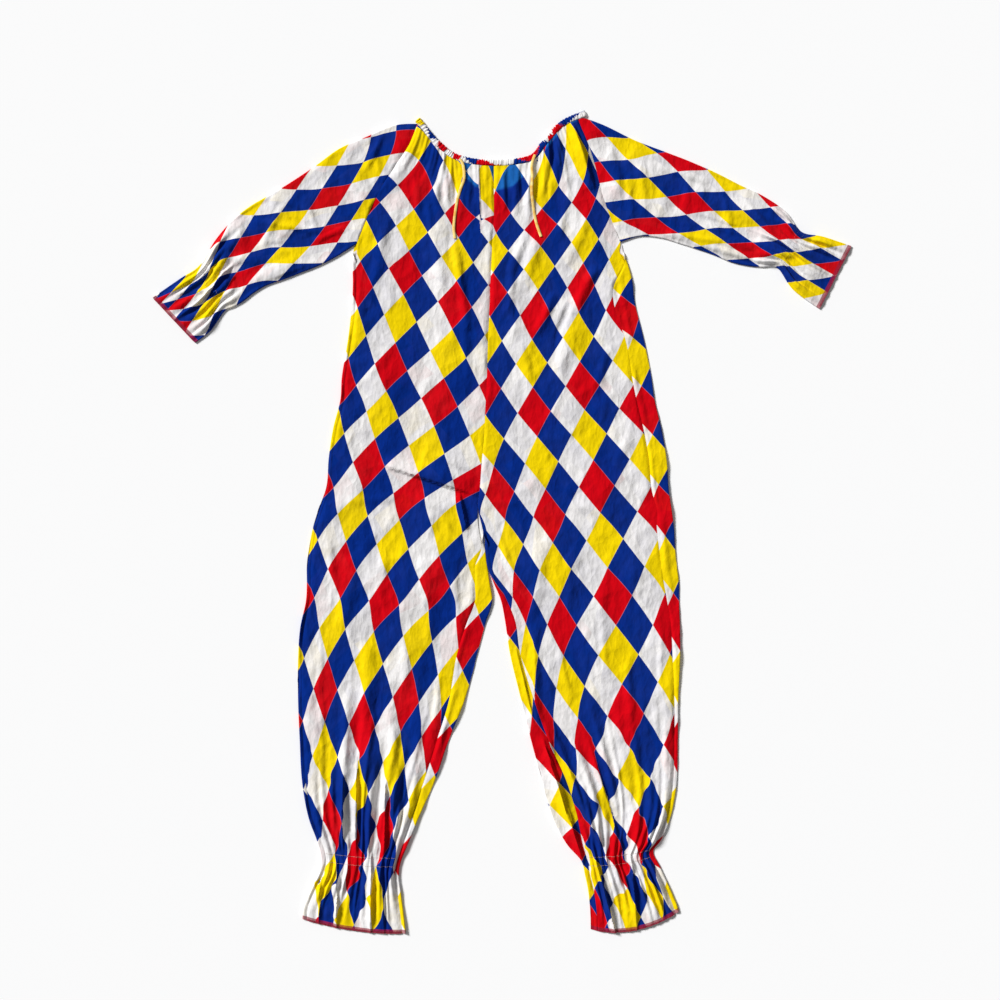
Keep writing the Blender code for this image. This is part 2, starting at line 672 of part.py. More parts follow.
def casing_ring(point, side, outward, thickness, lift, scallop):
    """Return one section of the band: two outer corners and two inner ones."""
    point = np.array(point)
    side = np.array(side)
    body = side * CASING_WIDTH / 2
    neck = -side * (CASING_WIDTH / 2 + scallop)
    outer = outward * (thickness / 2 + lift)
    inner = -outward * thickness / 2
    return np.array((point + neck + outer, point + body + outer, point + body + inner,
                     point + neck + inner))


def casing_turn(line, place, front_middle, back_middle, rising):
    """Return the two sections where the band turns under at a shoulder, or back up."""
    side = body_side(line, place)
    along = np.array((-side[1], side[0], 0.0))
    if rising:
        along = -along
    centre = np.array((*line_point(line, place), (front_middle + back_middle) / 2))
    radius = (front_middle - back_middle) / 2
    angles = reversed(BEND_ANGLES) if rising else BEND_ANGLES
    rings = []
    for angle in angles:
        reach = math.sin(math.radians(angle))
        rise = math.cos(math.radians(angle))
        outward = along * reach + np.array((0.0, 0.0, rise))
        thickness = CASING_THICKNESS if rise > 0 else CASING_REST
        point = centre + outward * radius
        rings.append(casing_ring(point, (side[0], side[1], 0.0), outward, thickness, 0.0, 0.0))
    return rings


def strip_faces(first, second, first_shares, second_shares):
    """Return the faces between two rows of point numbers, whose counts may differ."""
    if len(first) == len(second):
        return [
            (first[i], second[i], second[i + 1], first[i + 1]) for i in range(len(first) - 1)
        ]
    faces = []
    i = 0
    j = 0
    while i < len(first) - 1 or j < len(second) - 1:
        first_next = first_shares[i + 1] if i < len(first) - 1 else math.inf
        second_next = second_shares[j + 1] if j < len(second) - 1 else math.inf
        if first_next <= second_next:
            faces.append((first[i], second[j], first[i + 1]))
            i += 1
        else:
            faces.append((first[i], second[j], second[j + 1]))
            j += 1
    return faces


def number_rows(rows):
    """Give every point of the rows a number, and return the points and the numbers."""
    points = []
    outer_numbers = []
    inner_numbers = []
    for outer, inner, _ in rows:
        outer_numbers.append(list(range(len(points), len(points) + len(outer))))
        points.extend(outer)
        inner_numbers.append(list(range(len(points), len(points) + len(inner))))
        points.extend(inner)
    return points, outer_numbers, inner_numbers


def end_faces(outer, inner):
    """Return the faces that close a wall along a row between its two sides."""
    return [
        (outer[i], outer[i + 1], inner[i + 1], inner[i]) for i in range(len(outer) - 1)
    ]


def sheet_faces(rows):
    """Return the points and faces of a wall with four edges."""
    points, outer, inner = number_rows(rows)
    shares = [row[2] for row in rows]
    faces = []
    for index in range(len(rows) - 1):
        faces += strip_faces(outer[index], outer[index + 1], shares[index], shares[index + 1])
        faces += strip_faces(inner[index], inner[index + 1], shares[index], shares[index + 1])
        for end in (0, -1):
            faces.append((outer[index][end], outer[index + 1][end],
                          inner[index + 1][end], inner[index][end]))
    faces += end_faces(outer[0], inner[0])
    faces += end_faces(outer[-1], inner[-1])
    return points, faces


def tube_faces(rows):
    """Return the points and faces of a wall round a tube, open at both ends."""
    points, outer, inner = number_rows(rows)
    shares = [np.append(row[2], 4.0) for row in rows]
    for numbers in outer + inner:
        numbers.append(numbers[0])
    faces = []
    for index in range(len(rows) - 1):
        faces += strip_faces(outer[index], outer[index + 1], shares[index], shares[index + 1])
        faces += strip_faces(inner[index], inner[index + 1], shares[index], shares[index + 1])
    faces += end_faces(outer[0], inner[0])
    faces += end_faces(outer[-1], inner[-1])
    return points, faces


def ring_faces(rings):
    """Return the points and faces of a solid band that closes on itself."""
    count = len(rings)
    sides = len(rings[0])
    points = [point for ring in rings for point in ring]
    faces = []
    for index in range(count):
        following = (index + 1) % count
        for side in range(sides):
            beside = (side + 1) % sides
            faces.append((index * sides + side, following * sides + side,
                          following * sides + beside, index * sides + beside))
    return points, faces


def make_material(finish):
    """Return the Principled material of a finish, made once."""
    material = bpy.data.materials.get(finish.name)
    if material is None:
        material = bpy.data.materials.new(finish.name)
        material.use_nodes = True
        shader = material.node_tree.nodes["Principled BSDF"]
        shader.inputs["Base Color"].default_value = (*finish.colour, 1.0)
        shader.inputs["Roughness"].default_value = finish.roughness
        shader.inputs["Metallic"].default_value = 0.0
        material.diffuse_color = (*finish.colour, 1.0)
    return material


def add_piece(name, points, faces, finish):
    """Make one closed piece from points in millimetres and its faces."""
    shift = np.array((ORIGIN[0], ORIGIN[1], 0.0))
    mesh = bpy.data.meshes.new(name)
    mesh.from_pydata([tuple((point - shift) * MM) for point in points], [], faces)
    body = bmesh.new()
    body.from_mesh(mesh)
    bmesh.ops.recalc_face_normals(body, faces=body.faces)
    body.to_mesh(mesh)
    body.free()
    mesh.shade_smooth()
    mesh.set_sharp_from_angle(angle=math.radians(SHARPEST_SMOOTH))
    mesh.materials.append(make_material(finish))
    piece = bpy.data.objects.new(name, mesh)
    bpy.context.collection.objects.link(piece)
    return piece


def cloth_tree(piece):
    """Return a search tree of a piece's faces, for laying something on it."""
    mesh = piece.data
    return BVHTree.FromPolygons([v.co for v in mesh.vertices], [p.vertices for p in mesh.polygons])


def cloth_height(trees, x, y):
    """Return the highest cloth, in metres, under a tie's width round a plan point."""
    above = 1.0
    reach = TIE_WIDTH * MM * TIE_FOOTING
    highest = 0.0
    for step_x in (-1, 0, 1):
        for step_y in (-1, 0, 1):
            start = Vector((x + step_x * reach, y + step_y * reach, above))
            for tree in trees:
                hit = tree.ray_cast(start, Vector((0.0, 0.0, -1.0)))[0]
                if hit is not None:
                    highest = max(highest, hit.z)
    return highest


def tie_places(route):
    """Return plan points in millimetres along a tie's smooth route, evenly spaced."""
    fine = [line_point(route, place) for place in np.linspace(0, len(route) - 1, TIE_READINGS)]
    fine = np.array(fine)
    lengths = np.concatenate(((0.0,), np.cumsum(np.linalg.norm(np.diff(fine, axis=0), axis=1))))
    count = int(round(lengths[-1] / TIE_SPACING)) + 1
    wanted = np.linspace(0.0, lengths[-1], count)
    x = np.interp(wanted, lengths, fine[:, 0])
    y = np.interp(wanted, lengths, fine[:, 1])
    return np.column_stack((x, y))


def add_tie(name, route, trees):
    """Lay one tie on the cloth as a round cord with closed ends."""
    plan = (tie_places(route) - np.array(ORIGIN)) * MM
    radius = TIE_WIDTH * MM / 2
    heights = np.array([cloth_height(trees, x, y) for x, y in plan])
    highest = np.array([
        max(heights[max(index - 1, 0): index + 2]) for index in range(len(heights))
    ])
    curve = bpy.data.curves.new(name, "CURVE")
    curve.dimensions = "3D"
    curve.bevel_depth = radius
    curve.bevel_resolution = 2
    curve.use_fill_caps = True
    curve.materials.append(make_material(YELLOW_CORD))
    spline = curve.splines.new("POLY")
    spline.points.add(len(plan) - 1)
    for index, (x, y) in enumerate(plan):
        spline.points[index].co = (x, y, highest[index] + radius + TIE_LIFT * MM, 1.0)
    tie = bpy.data.objects.new(name, curve)
    bpy.context.collection.objects.link(tie)
    return tie


def make_half(left):
    """Make the front, back and sleeve of one side, and return the front."""
    side = "left" if left else "right"
    raglan = "raglan_" + side
    lower = torso_stations(left) + leg_stations(LEG_LEFT if left else LEG_RIGHT)
    front_yoke = FRONT_YOKE_LEFT if left else FRONT_YOKE_RIGHT
    back_yoke = BACK_YOKE_LEFT if left else BACK_YOKE_RIGHT
    folds = FOLDS_LEFT if left else FOLDS_RIGHT
    front_neck = (NECK_FRONT, NECK_SEAMS[raglan], NECK_SEAMS["centre"])
    back_neck = (NECK_BACK, NECK_BACK_SEAMS[raglan], NECK_BACK_SEAMS["centre"])
    front = yoke_stations(front_yoke, *front_neck, FRONT_NECK_RUFFLE) + lower
    back = yoke_stations(back_yoke, *back_neck, 0.0) + lower
    panel = add_piece(
        "front_" + side, *sheet_faces(front_rows(front, neck_samples(*front_neck), folds)),
        PRINTED_COTTON,
    )
    add_piece(
        "back_" + side, *sheet_faces(back_rows(back, neck_samples(*back_neck))), PRINTED_COTTON
    )
    outward = -1.0 if left else 1.0
    shoulder = NECK_BACK_SEAMS["shoulder_" + side]
    top, under = raglan_lines(front, back, NECK_BACK, shoulder, outward)
    table = SLEEVE_LEFT if left else SLEEVE_RIGHT
    sleeve_folds = FOLDS_SLEEVE_LEFT if left else FOLDS_SLEEVE_RIGHT
    add_piece(
        "sleeve_" + side, *tube_faces(sleeve_rows(table, top, under, sleeve_folds)),
        PRINTED_COTTON,
    )
    return panel


def make_suit():
    """Make every piece of the suit."""
    clear_scene()
    fronts = [make_half(True), make_half(False)]
    casing = add_piece("neck_casing", *ring_faces(casing_rings()), CASING_COTTON)
    trees = [cloth_tree(piece) for piece in fronts + [casing]]
    add_tie("tie_left", TIE_LEFT, trees)
    add_tie("tie_right", TIE_RIGHT, trees)


make_suit()
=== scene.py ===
"""Clown jumpsuit laid flat on its back: printed cotton, gathered neck, frilled cuffs and ankles.

Each panel is a thin sheet over its solid, worked out on a grid of stations and shares.
Stations run from the neck (0) to the hem (33), shares run from a panel's side edge (0) to
its centre or inner edge (1). Plan sizes in the tables are millimetres: x to the right, y
towards the neck, z up from the surface. The meshes are in metres.
"""

import logging
import math
from dataclasses import dataclass, field
from enum import Enum
from typing import ClassVar, NamedTuple

import bpy
import numpy as np
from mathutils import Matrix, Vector
from mathutils.bvhtree import BVHTree


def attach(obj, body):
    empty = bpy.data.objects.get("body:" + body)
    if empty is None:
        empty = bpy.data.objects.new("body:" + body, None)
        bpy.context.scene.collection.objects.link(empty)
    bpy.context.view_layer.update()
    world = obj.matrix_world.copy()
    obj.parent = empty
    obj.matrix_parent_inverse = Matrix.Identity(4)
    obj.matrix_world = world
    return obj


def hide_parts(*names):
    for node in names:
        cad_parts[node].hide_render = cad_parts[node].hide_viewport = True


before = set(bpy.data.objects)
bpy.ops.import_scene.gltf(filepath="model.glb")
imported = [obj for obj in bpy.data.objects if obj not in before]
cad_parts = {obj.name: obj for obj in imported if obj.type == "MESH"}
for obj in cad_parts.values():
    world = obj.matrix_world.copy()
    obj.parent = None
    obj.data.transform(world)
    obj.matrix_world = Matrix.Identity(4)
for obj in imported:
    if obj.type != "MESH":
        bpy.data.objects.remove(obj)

LOG = logging.getLogger("jumpsuit")

Rows = tuple[tuple[float, ...], ...]
Colour = tuple[float, float, float]
Socket = bpy.types.NodeSocket

MM = 0.001
ORIGIN = np.array((0.0, 2.3, 0.0))  # point of the tables that is the origin of the part
UP = np.array((0.0, 0.0, 1.0))
WALL = 1.2  # thickness that the solids give to the cloth
SHEET = 0.45  # thickness of the cloth here
BEND_RADIUS = 1.1  # from a fold's centre to the middle of the wall
TOP_HEIGHT = 2 * BEND_RADIUS + WALL  # upper face of cloth that lies on a back
EDGE_REACH = BEND_RADIUS + WALL / 2
SEAM_GAP = 0.1
SHORTEST_WRAP = 3.0  # least width of a strip that is doubled over
YOKE_GAPS = 5  # gaps between stations above the armpit
ELASTIC_STATION = 29
NECK_STEPS = 12
FADING_ROWS = 4.0  # rows over which the first row's curve fades
CASING_WIDTH = 11.0
CASING_GAP = 0.3
RAGLAN_GAP = 0.1
HEM_FAR = 24.0  # distance from a hem past which the cloth is plain
HEM_DROP = 0.9  # how much lower the hem of a frill lies than the cloth inside it
GATHER_MEAN = 0.78
GATHER_SPREAD = 0.22
FOLD_TAPER = 0.6
FULL_TUCK = 7.0  # a tuck flattens what lies past it by its height over this
MOST_FLATTENED = 0.9
PRINT_RETURN = 2.2  # widths of a tuck over which the print comes back to its place
CREASE_SIZE = 1.4
CRUMPLE_SIZE = 0.9
CRUMPLE_TOP = 0.7  # most that crumpling lifts cloth on the surface
BEND_SIZE, BEND_CELL = 22.0, 45.0  # the noise that bends the facets' lattices
SWELL_SIZE, SWELL_CELL, SWELL_STRETCH = 5.0, 55.0, 1.6  # the soft noise under the facets
CRUMPLE_LAYERS = (  # turn in radians, cell, stretch and size of each layer of facets
    (0.45, 64.0, 2.4, 6.4), (-0.65, 31.0, 2.2, 3.2), (0.15, 15.0, 1.9, 1.1),
)
FACET_MEAN = 0.42  # distance from a facet's middle at which it is level
LATTICE_SIZE = 64  # cells of the noise's lattices before they repeat
SHARP_ANGLE = math.radians(75.0)
FACET_STRETCH = (1.0, 0.55, 1.0)  # of the material's facets
FACET_BEND = 1.4  # cells by which noise bends them
PRINT_WIDTH = 31.0  # plan width of one print column
PRINT_BLUR = 26.0  # millimetres down a panel over which its print tables are evened out
SLEEVE_BLUR = 0.5  # rows of a sleeve over which its print table is evened out
STRIP_WIDTH = 42.0  # strip of a back beside each seam where the print is true to size


class Side(Enum):
    """Which half of the suit, as someone who looks down at it sees it."""

    LEFT = "left"
    RIGHT = "right"

    @property
    def outward(self) -> float:
        """Return -1 for the left half and 1 for the right one."""
        return -1.0 if self is Side.LEFT else 1.0


class Fold(NamedTuple):
    """A fold of the cloth between two plan points.

    It is a soft ridge, a trough where its height is less than 0, or a tuck, which lies over
    its neighbour. A tuck rises over its width on the left of the way from the first point
    to the second and drops off at the line. Hidden and rows are how many columns and rows
    of the print are skipped there, from left to right.
    """

    x0: float
    y0: float
    x1: float
    y1: float
    height: float
    width: float
    hidden: float = 0.0
    rows: float = 0.0

    def frame(self, points: np.ndarray) -> tuple[np.ndarray, np.ndarray]:
        """Return how full the fold is beside each plan point, and how far right of it that is.

        It is full in the middle and fades to its ends as the sine of the share of its
        length, to the power 0.6.
        """
        start = np.array((self.x0, self.y0))
        along = np.array((self.x1, self.y1)) - start
        length = np.linalg.norm(along)
        off = points - start
        share = np.clip((off @ along) / length**2, 0.0, 1.0)
        side = (off[..., 0] * along[1] - off[..., 1] * along[0]) / length
        return np.sin(np.pi * share) ** FOLD_TAPER, side


# Rows above the armpit: raglan x and y, centre x and y, and the height of the gathers.
FRONT_YOKE = {
    Side.LEFT: (
        (-170, 690, -15, 612, 3.6), (-195, 653, -15, 562, 2.2), (-223, 608, -18, 510, 1),
        (-243, 565, -20, 462, 0.4), (-265, 511, -22, 425, 0),
    ),
    Side.RIGHT: (
        (160, 684, -15, 612, 3.6), (172, 644, -15, 562, 2.2), (182, 604, -18, 510, 1),
        (196, 562, -20, 462, 0.4), (215, 514, -22, 425, 0),
    ),
}
BACK_YOKE = {
    Side.LEFT: (
        (-135, 648, -16, 568, 0), (-159, 619, -16, 534, 0), (-190, 584, -18, 496, 0),
        (-224, 549, -20, 459, 0), (-265, 511, -22, 425, 0),
    ),
    Side.RIGHT: (
        (110, 662, -16, 568, 0), (131, 626, -16, 534, 0), (157, 588, -18, 496, 0),
        (184, 551, -20, 459, 0), (215, 514, -22, 425, 0),
    ),
}
# Rows of the body: left, middle and right x and y, the widths of back that lie over the front
# on the left and on the right, and the degrees that the back's side edge is turned up.
TORSO = (
    (-271, 495, -22, 409, 221, 496, 5, 5, 0), (-273, 474, -23, 392, 229, 474, 5, 5, 180),
    (-272, 440, -24, 366, 238, 441, 5, 34, 180), (-274, 397, -26, 332, 243, 398, 5, 36, 180),
    (-281, 335, -27, 284, 259, 334, 5, 31, 180), (-292, 268, -29, 236, 272, 268, 5, 33, 180),
    (-295, 224, -31, 198, 279, 222, 5, 31, 180), (-308, 173, -33, 156, 292, 167, 5, 31, 180),
    (-316, 119, -37, 111, 301, 112, 5, 31, 180), (-320, 68, -40, 68, 304, 64, 5, 30, 180),
    (-335, 24, -44, 29, 310, 22, 5, 26, 180),
)
# Rows of a leg: outer and inner x and y, the widths of back over the front at both, the
# degrees that the inner edge is turned up, the height of the gathers, and the row's bow.
LEG = {
    Side.LEFT: (
        (-345, -9, -36, -9, 5, 5, 0, 0, 0), (-352, -46, -31, -46, 5, 5, 180, 0, 0),
        (-356, -78, -27, -78, 5, 20, 180, 0, 0), (-356, -111, -22, -110, 5, 26, 180, 0, 0),
        (-358, -144, -18, -144, 5, 30, 180, 0, 0), (-368, -191, -31, -186, 5, 33, 180, 0.4, 0),
        (-372, -246, -46, -241, 5, 35, 180, 0.8, 0), (-372, -323, -68, -323, 5, 27, 180, 1.4, 0),
        (-369, -396, -97, -396, 5, 20, 180, 2.4, 0), (-365, -469, -122, -469, 5, 18, 180, 3.8, 0),
        (-354, -533, -150, -533, 5, 12, 180, 5.6, 2), (-338, -578, -170, -582, 6, 8, 180, 7, 3),
        (-330, -608, -184, -617, 7, 6, 180, 5.5, 4), (-332, -633, -188, -641, 6, 5, 180, 8, 4),
        (-347, -666, -184, -675, 5, 5, 180, 9, 5), (-361, -699, -179, -714, 5, 5, 180, 9.5, 7),
        (-364, -722, -175, -748, 5, 5, 180, 9, 8),
    ),
    Side.RIGHT: (
        (314, -9, -36, -9, 30, 5, 0, 0, 0), (316, -46, -31, -46, 28, 5, 180, 0, 0),
        (319, -78, -27, -78, 27, 6, 180, 0, 0), (323, -110, -15, -110, 26, 7, 180, 0, 0),
        (323, -144, -2, -141, 20, 9, 180, 0, 0), (325, -191, 6, -181, 15, 17, 180, 0.4, 0),
        (325, -250, 15, -241, 12, 17, 180, 0.8, 0), (322, -323, 35, -323, 6, 22, 180, 1.4, 0),
        (321, -396, 53, -396, 5, 30, 180, 2.4, 0), (319, -469, 73, -469, 5, 42, 180, 3.8, 0),
        (310, -527, 91, -533, 5, 44, 180, 5.6, 2), (292, -575, 117, -584, 6, 28, 180, 7, 4),
        (276, -599, 144, -615, 6, 10, 180, 5.5, 6), (288, -626, 151, -641, 5, 8, 180, 8, 8),
        (303, -659, 157, -670, 5, 9, 180, 9, 11), (316, -688, 161, -706, 5, 10, 180, 9.5, 15),
        (323, -708, 162, -741, 5, 10, 180, 9, 18),
    ),
}
# Rows of a sleeve: x and y of its upper fold and of its lower one, and the gathers' height.
SLEEVE = {
    Side.LEFT: (
        (-168, 734, -266, 510, 0), (-206, 728, -287, 496, 0), (-257, 703, -308, 483, 0),
        (-299, 682, -336, 469, 0), (-336, 654, -369, 456, 0), (-376, 627, -400, 444, 0.5),
        (-416, 602, -431, 433, 1.2), (-460, 577, -454, 419, 2.4), (-494, 549, -473, 404, 4.2),
        (-523, 515, -491, 394, 5.4), (-551, 470, -507, 386, 4.4), (-586, 446, -532, 351, 6.4),
        (-637, 411, -560, 329, 7.4),
    ),
    Side.RIGHT: (
        (164, 746, 216, 513, 0), (197, 729, 252, 524, 0), (246, 700, 292, 520, 0),
        (296, 678, 325, 510, 0), (343, 659, 356, 500, 0), (391, 638, 385, 490, 0.5),
        (434, 616, 416, 477, 1.4), (478, 595, 445, 470, 3.2), (518, 567, 474, 467, 5.4),
        (546, 531, 503, 465, 4.4), (586, 522, 531, 426, 6.4), (637, 505, 579, 391, 7.4),
    ),
}
# Points of the neck lines, from left to right, and the places on them where seams meet them.
NECK_FRONT = (
    (-153, 734), (-117, 692), (-77, 665), (-15, 657), (51, 665), (80, 697), (110, 728), (151, 747),
)
NECK_BACK = (
    (-153, 734), (-113, 683), (-80, 645), (-49, 617), (-15, 608), (20, 617), (53, 649), (84, 690),
    (112, 722), (151, 747),
)
FRONT_SEAMS = {Side.LEFT: (0.12, 3.0), Side.RIGHT: (6.6, 3.0)}
BACK_SEAMS = {Side.LEFT: (1.0, 4.0), Side.RIGHT: (7.2, 4.0)}
SHOULDER_SEAMS = {Side.LEFT: 0.2, Side.RIGHT: 8.8}

# Folds, as the values of Fold. The large ones are those of the solids.
FRONT_FOLDS = {
    Side.LEFT: (
        (-113, 523, -111, 398, 4, 18), (-195, 470, -212, 380, 2.5, 24),
        (-190, 372, -172, 322, 2.5, 20), (-214, 112, -50, 70, 8, 22),
        (-274, -60, -290, -215, 4, 26), (-138, -60, -128, -240, 4, 26),
        (-283, -300, -290, -596, 7, 20), (-243, -215, -248, -596, 8, 22),
        (-200, -305, -198, -590, 7, 20), (-152, -320, -166, -560, 5, 18),
    ),
    Side.RIGHT: (
        (128, 712, 160, 606, 7, 15), (64, 530, 42, 420, 4, 20), (128, 360, 100, 252, 4, 22),
        (178, 226, 160, 120, 3, 26), (70, -30, 60, -180, 4, 20), (58, -185, 60, -365, 5.5, 18),
        (36, -300, 190, -600, 11, 26), (118, -390, 212, -598, 8, 18),
        (240, -505, 252, -597, 7, 16), (280, -430, 268, -590, 5, 20),
    ),
}
SLEEVE_FOLDS = {
    Side.LEFT: (
        (-455, 545, -320, 522, 3.5, 20), (-520, 482, -430, 478, 4.5, 16),
        (-478, 428, -370, 480, 3.5, 18), (-270, 660, -252, 570, 2.5, 22),
    ),
    Side.RIGHT: (
        (330, 610, 480, 545, 3.5, 20), (372, 520, 486, 500, 4.5, 16), (196, 690, 212, 590, 5, 18),
        (300, 600, 282, 548, 2.5, 22),
    ),
}
# Smaller creases, which only the cloth has: ridges above 0 and troughs below it.
FRONT_CREASES = {
    Side.LEFT: (
        (-86, 508, -62, 350, 3.6, 12), (-128, 640, -112, 560, 3.4, 11),
        (-150, 500, -128, 330, -2.6, 15), (-210, 560, -230, 440, 2.6, 16),
        (-140, 600, -118, 470, 1.6, 10), (-160, 640, -150, 540, 1.8, 11),
        (-64, 640, -60, 560, 2.2, 8), (-104, 645, -98, 575, 2.4, 8), (-40, 640, -36, 570, 2.6, 7),
        (-52, 636, -50, 586, -2.4, 6), (-88, 648, -84, 584, -3, 6),
        (-230, 500, -150, 430, 1.5, 12), (-250, 420, -190, 330, 1.2, 12),
        (-70, 380, -60, 250, 1.6, 12), (-250, 300, -170, 240, 1.3, 14),
        (-150, 240, -90, 150, 1.4, 13), (-290, 190, -220, 150, 1.4, 12),
        (-130, 130, -60, 96, 2, 10), (-72, 44, -50, 2, -3, 8), (-290, 40, -180, 46, 1.4, 14),
        (-200, 60, -90, 20, 1.6, 12), (-110, 10, -60, -60, 1.8, 10),
        (-320, -20, -300, -130, 1.6, 12), (-210, -20, -222, -150, 1.8, 14),
        (-90, -60, -80, -190, 2, 11), (-52, -90, -60, -210, 1.8, 9),
        (-330, -180, -334, -330, 1.6, 10), (-180, -200, -176, -320, 1.8, 12),
        (-110, -240, -124, -380, 2, 10), (-340, -360, -336, -480, 1.8, 9),
        (-262, -330, -266, -470, -2, 8), (-222, -430, -226, -590, -3.2, 7),
        (-296, -560, -292, -606, -3.4, 5), (-310, -480, -306, -590, 2.4, 7),
        (-180, -450, -186, -590, -2.4, 6), (-310, -620, -318, -735, -2.4, 7),
        (-258, -610, -262, -740, -2.2, 7),
    ),
    Side.RIGHT: (
        (48, 536, 12, 452, 3.6, 13), (98, 424, 62, 340, 3.8, 14), (172, 470, 130, 380, 4.2, 16),
        (126, 404, 92, 322, -3.4, 10), (20, 640, 26, 560, 2, 8), (44, 640, 50, 550, 2.4, 8),
        (84, 690, 76, 600, 2.6, 8), (104, 700, 98, 610, 2.2, 8), (2, 640, 6, 570, 2.4, 7),
        (34, 644, 38, 580, -2.6, 6), (64, 672, 64, 590, -3, 7), (94, 702, 88, 620, -2.8, 6),
        (120, 600, 100, 500, 1.6, 12), (160, 560, 120, 470, 1.5, 12), (20, 470, 10, 380, 1.6, 12),
        (190, 470, 120, 420, 1.4, 14), (30, 330, 60, 230, 1.5, 14), (200, 330, 170, 250, 1.6, 12),
        (40, 200, 90, 120, 1.4, 14), (240, 180, 200, 90, 1.5, 12), (0, 120, 60, 60, 1.6, 12),
        (-20, 40, 60, 30, 1.6, 11), (120, 40, 230, 0, 1.4, 14), (-10, -10, 30, -120, 2, 10),
        (130, -40, 120, -190, 1.8, 14), (240, -30, 230, -180, 1.6, 14),
        (180, -120, 190, -290, 1.8, 12), (100, -210, 130, -350, 2, 11),
        (290, -180, 286, -330, 1.8, 10), (230, -240, 234, -400, 1.8, 12),
        (160, -330, 206, -500, 2.4, 9), (90, -330, 150, -480, -2.6, 9),
        (112, -342, 140, -400, -3, 8), (300, -370, 292, -520, 2, 9),
        (220, -560, 226, -604, -3.2, 6), (94, -400, 176, -604, -6.5, 9),
        (166, -606, 200, -745, -4, 8), (214, -612, 222, -740, -2.6, 7),
    ),
}
SLEEVE_CREASES = {
    Side.LEFT: (
        (-300, 640, -230, 560, 1.8, 12), (-360, 600, -330, 500, 1.8, 12),
        (-240, 690, -220, 640, 2.2, 10), (-400, 580, -440, 500, 2.2, 10),
        (-470, 540, -520, 470, 2.4, 8), (-330, 560, -430, 600, 2, 10),
        (-280, 540, -350, 510, 2.4, 9), (-452, 552, -316, 528, 3, 9),
        (-430, 508, -330, 494, -3, 9), (-214, 716, -250, 640, 3.2, 10),
        (-196, 660, -206, 590, 3, 10), (-540, 470, -486, 446, 4, 8), (-566, 424, -505, 420, 4, 7),
        (-600, 410, -560, 420, -3, 7),
    ),
    Side.RIGHT: (
        (250, 680, 262, 560, 2.2, 12), (340, 640, 330, 540, 2, 12), (400, 620, 420, 520, 2.2, 11),
        (230, 640, 236, 550, 2.4, 10), (440, 590, 500, 520, 2.6, 8), (280, 650, 380, 620, 1.8, 10),
        (300, 530, 400, 510, 2.2, 9), (364, 508, 474, 476, 3.4, 9), (350, 560, 470, 520, -3, 9),
        (472, 500, 530, 484, 4.4, 8), (500, 556, 560, 516, 4, 8), (540, 480, 600, 440, 4.4, 8),
        (560, 520, 618, 486, -3, 7),
    ),
}
# Ridges of the backs' edges, where they lie on the fronts or beside them.
BACK_CREASES = {
    Side.LEFT: (
        (-60, -150, -84, -260, 4, 10), (-86, -300, -124, -440, 3.5, 9),
    ),
    Side.RIGHT: (
        (210, 470, 236, 330, 3, 9), (232, 300, 262, 180, 3, 10), (262, 160, 280, 20, 3.5, 9),
        (290, 10, 306, -120, 3, 9),
    ),
}
# Tucks, which lie over their neighbours.
FRONT_TUCKS = {
    Side.LEFT: (
        (-226, 108, -38, 48, 8, 24), (-64, -12, -78, 54, 10, 16),
        (-40, 530, -44, 690, 3, 9, 0.9, -0.9), (-336, -765, -330, -620, 5, 10, 0.7),
        (-302, -770, -300, -606, 7, 12, 0.5), (-240, -780, -238, -600, 9, 12, 0.6),
        (-214, -780, -219, -610, 6, 9, 0.4), (-291, -604, -288, -460, 7, 14, 0.3),
        (-266, -604, -264, -420, 8, 14, 0.8), (-214, -604, -212, -470, 7.5, 16, 0.4),
    ),
    Side.RIGHT: (
        (170, 606, 130, 728, 8, 22), (214, -772, 168, -606, 16, 18, 0.4),
        (248, -765, 236, -608, 8, 14, 0.4), (92, -420, 190, -604, 7, 20),
        (224, -612, 158, -394, 5, 16, 1.3), (162, -636, 82, -380, 12, 16),
        (58, -200, 60, -360, 2, 12, -0.2),
    ),
}
BACK_TUCKS = {
    Side.LEFT: (
        (-84, -200, -58, -20, 5, 12),
    ),
    Side.RIGHT: (
        (150, -622, 74, -390, 15, 18), (60, -372, 26, -230, 5, 12),
    ),
}

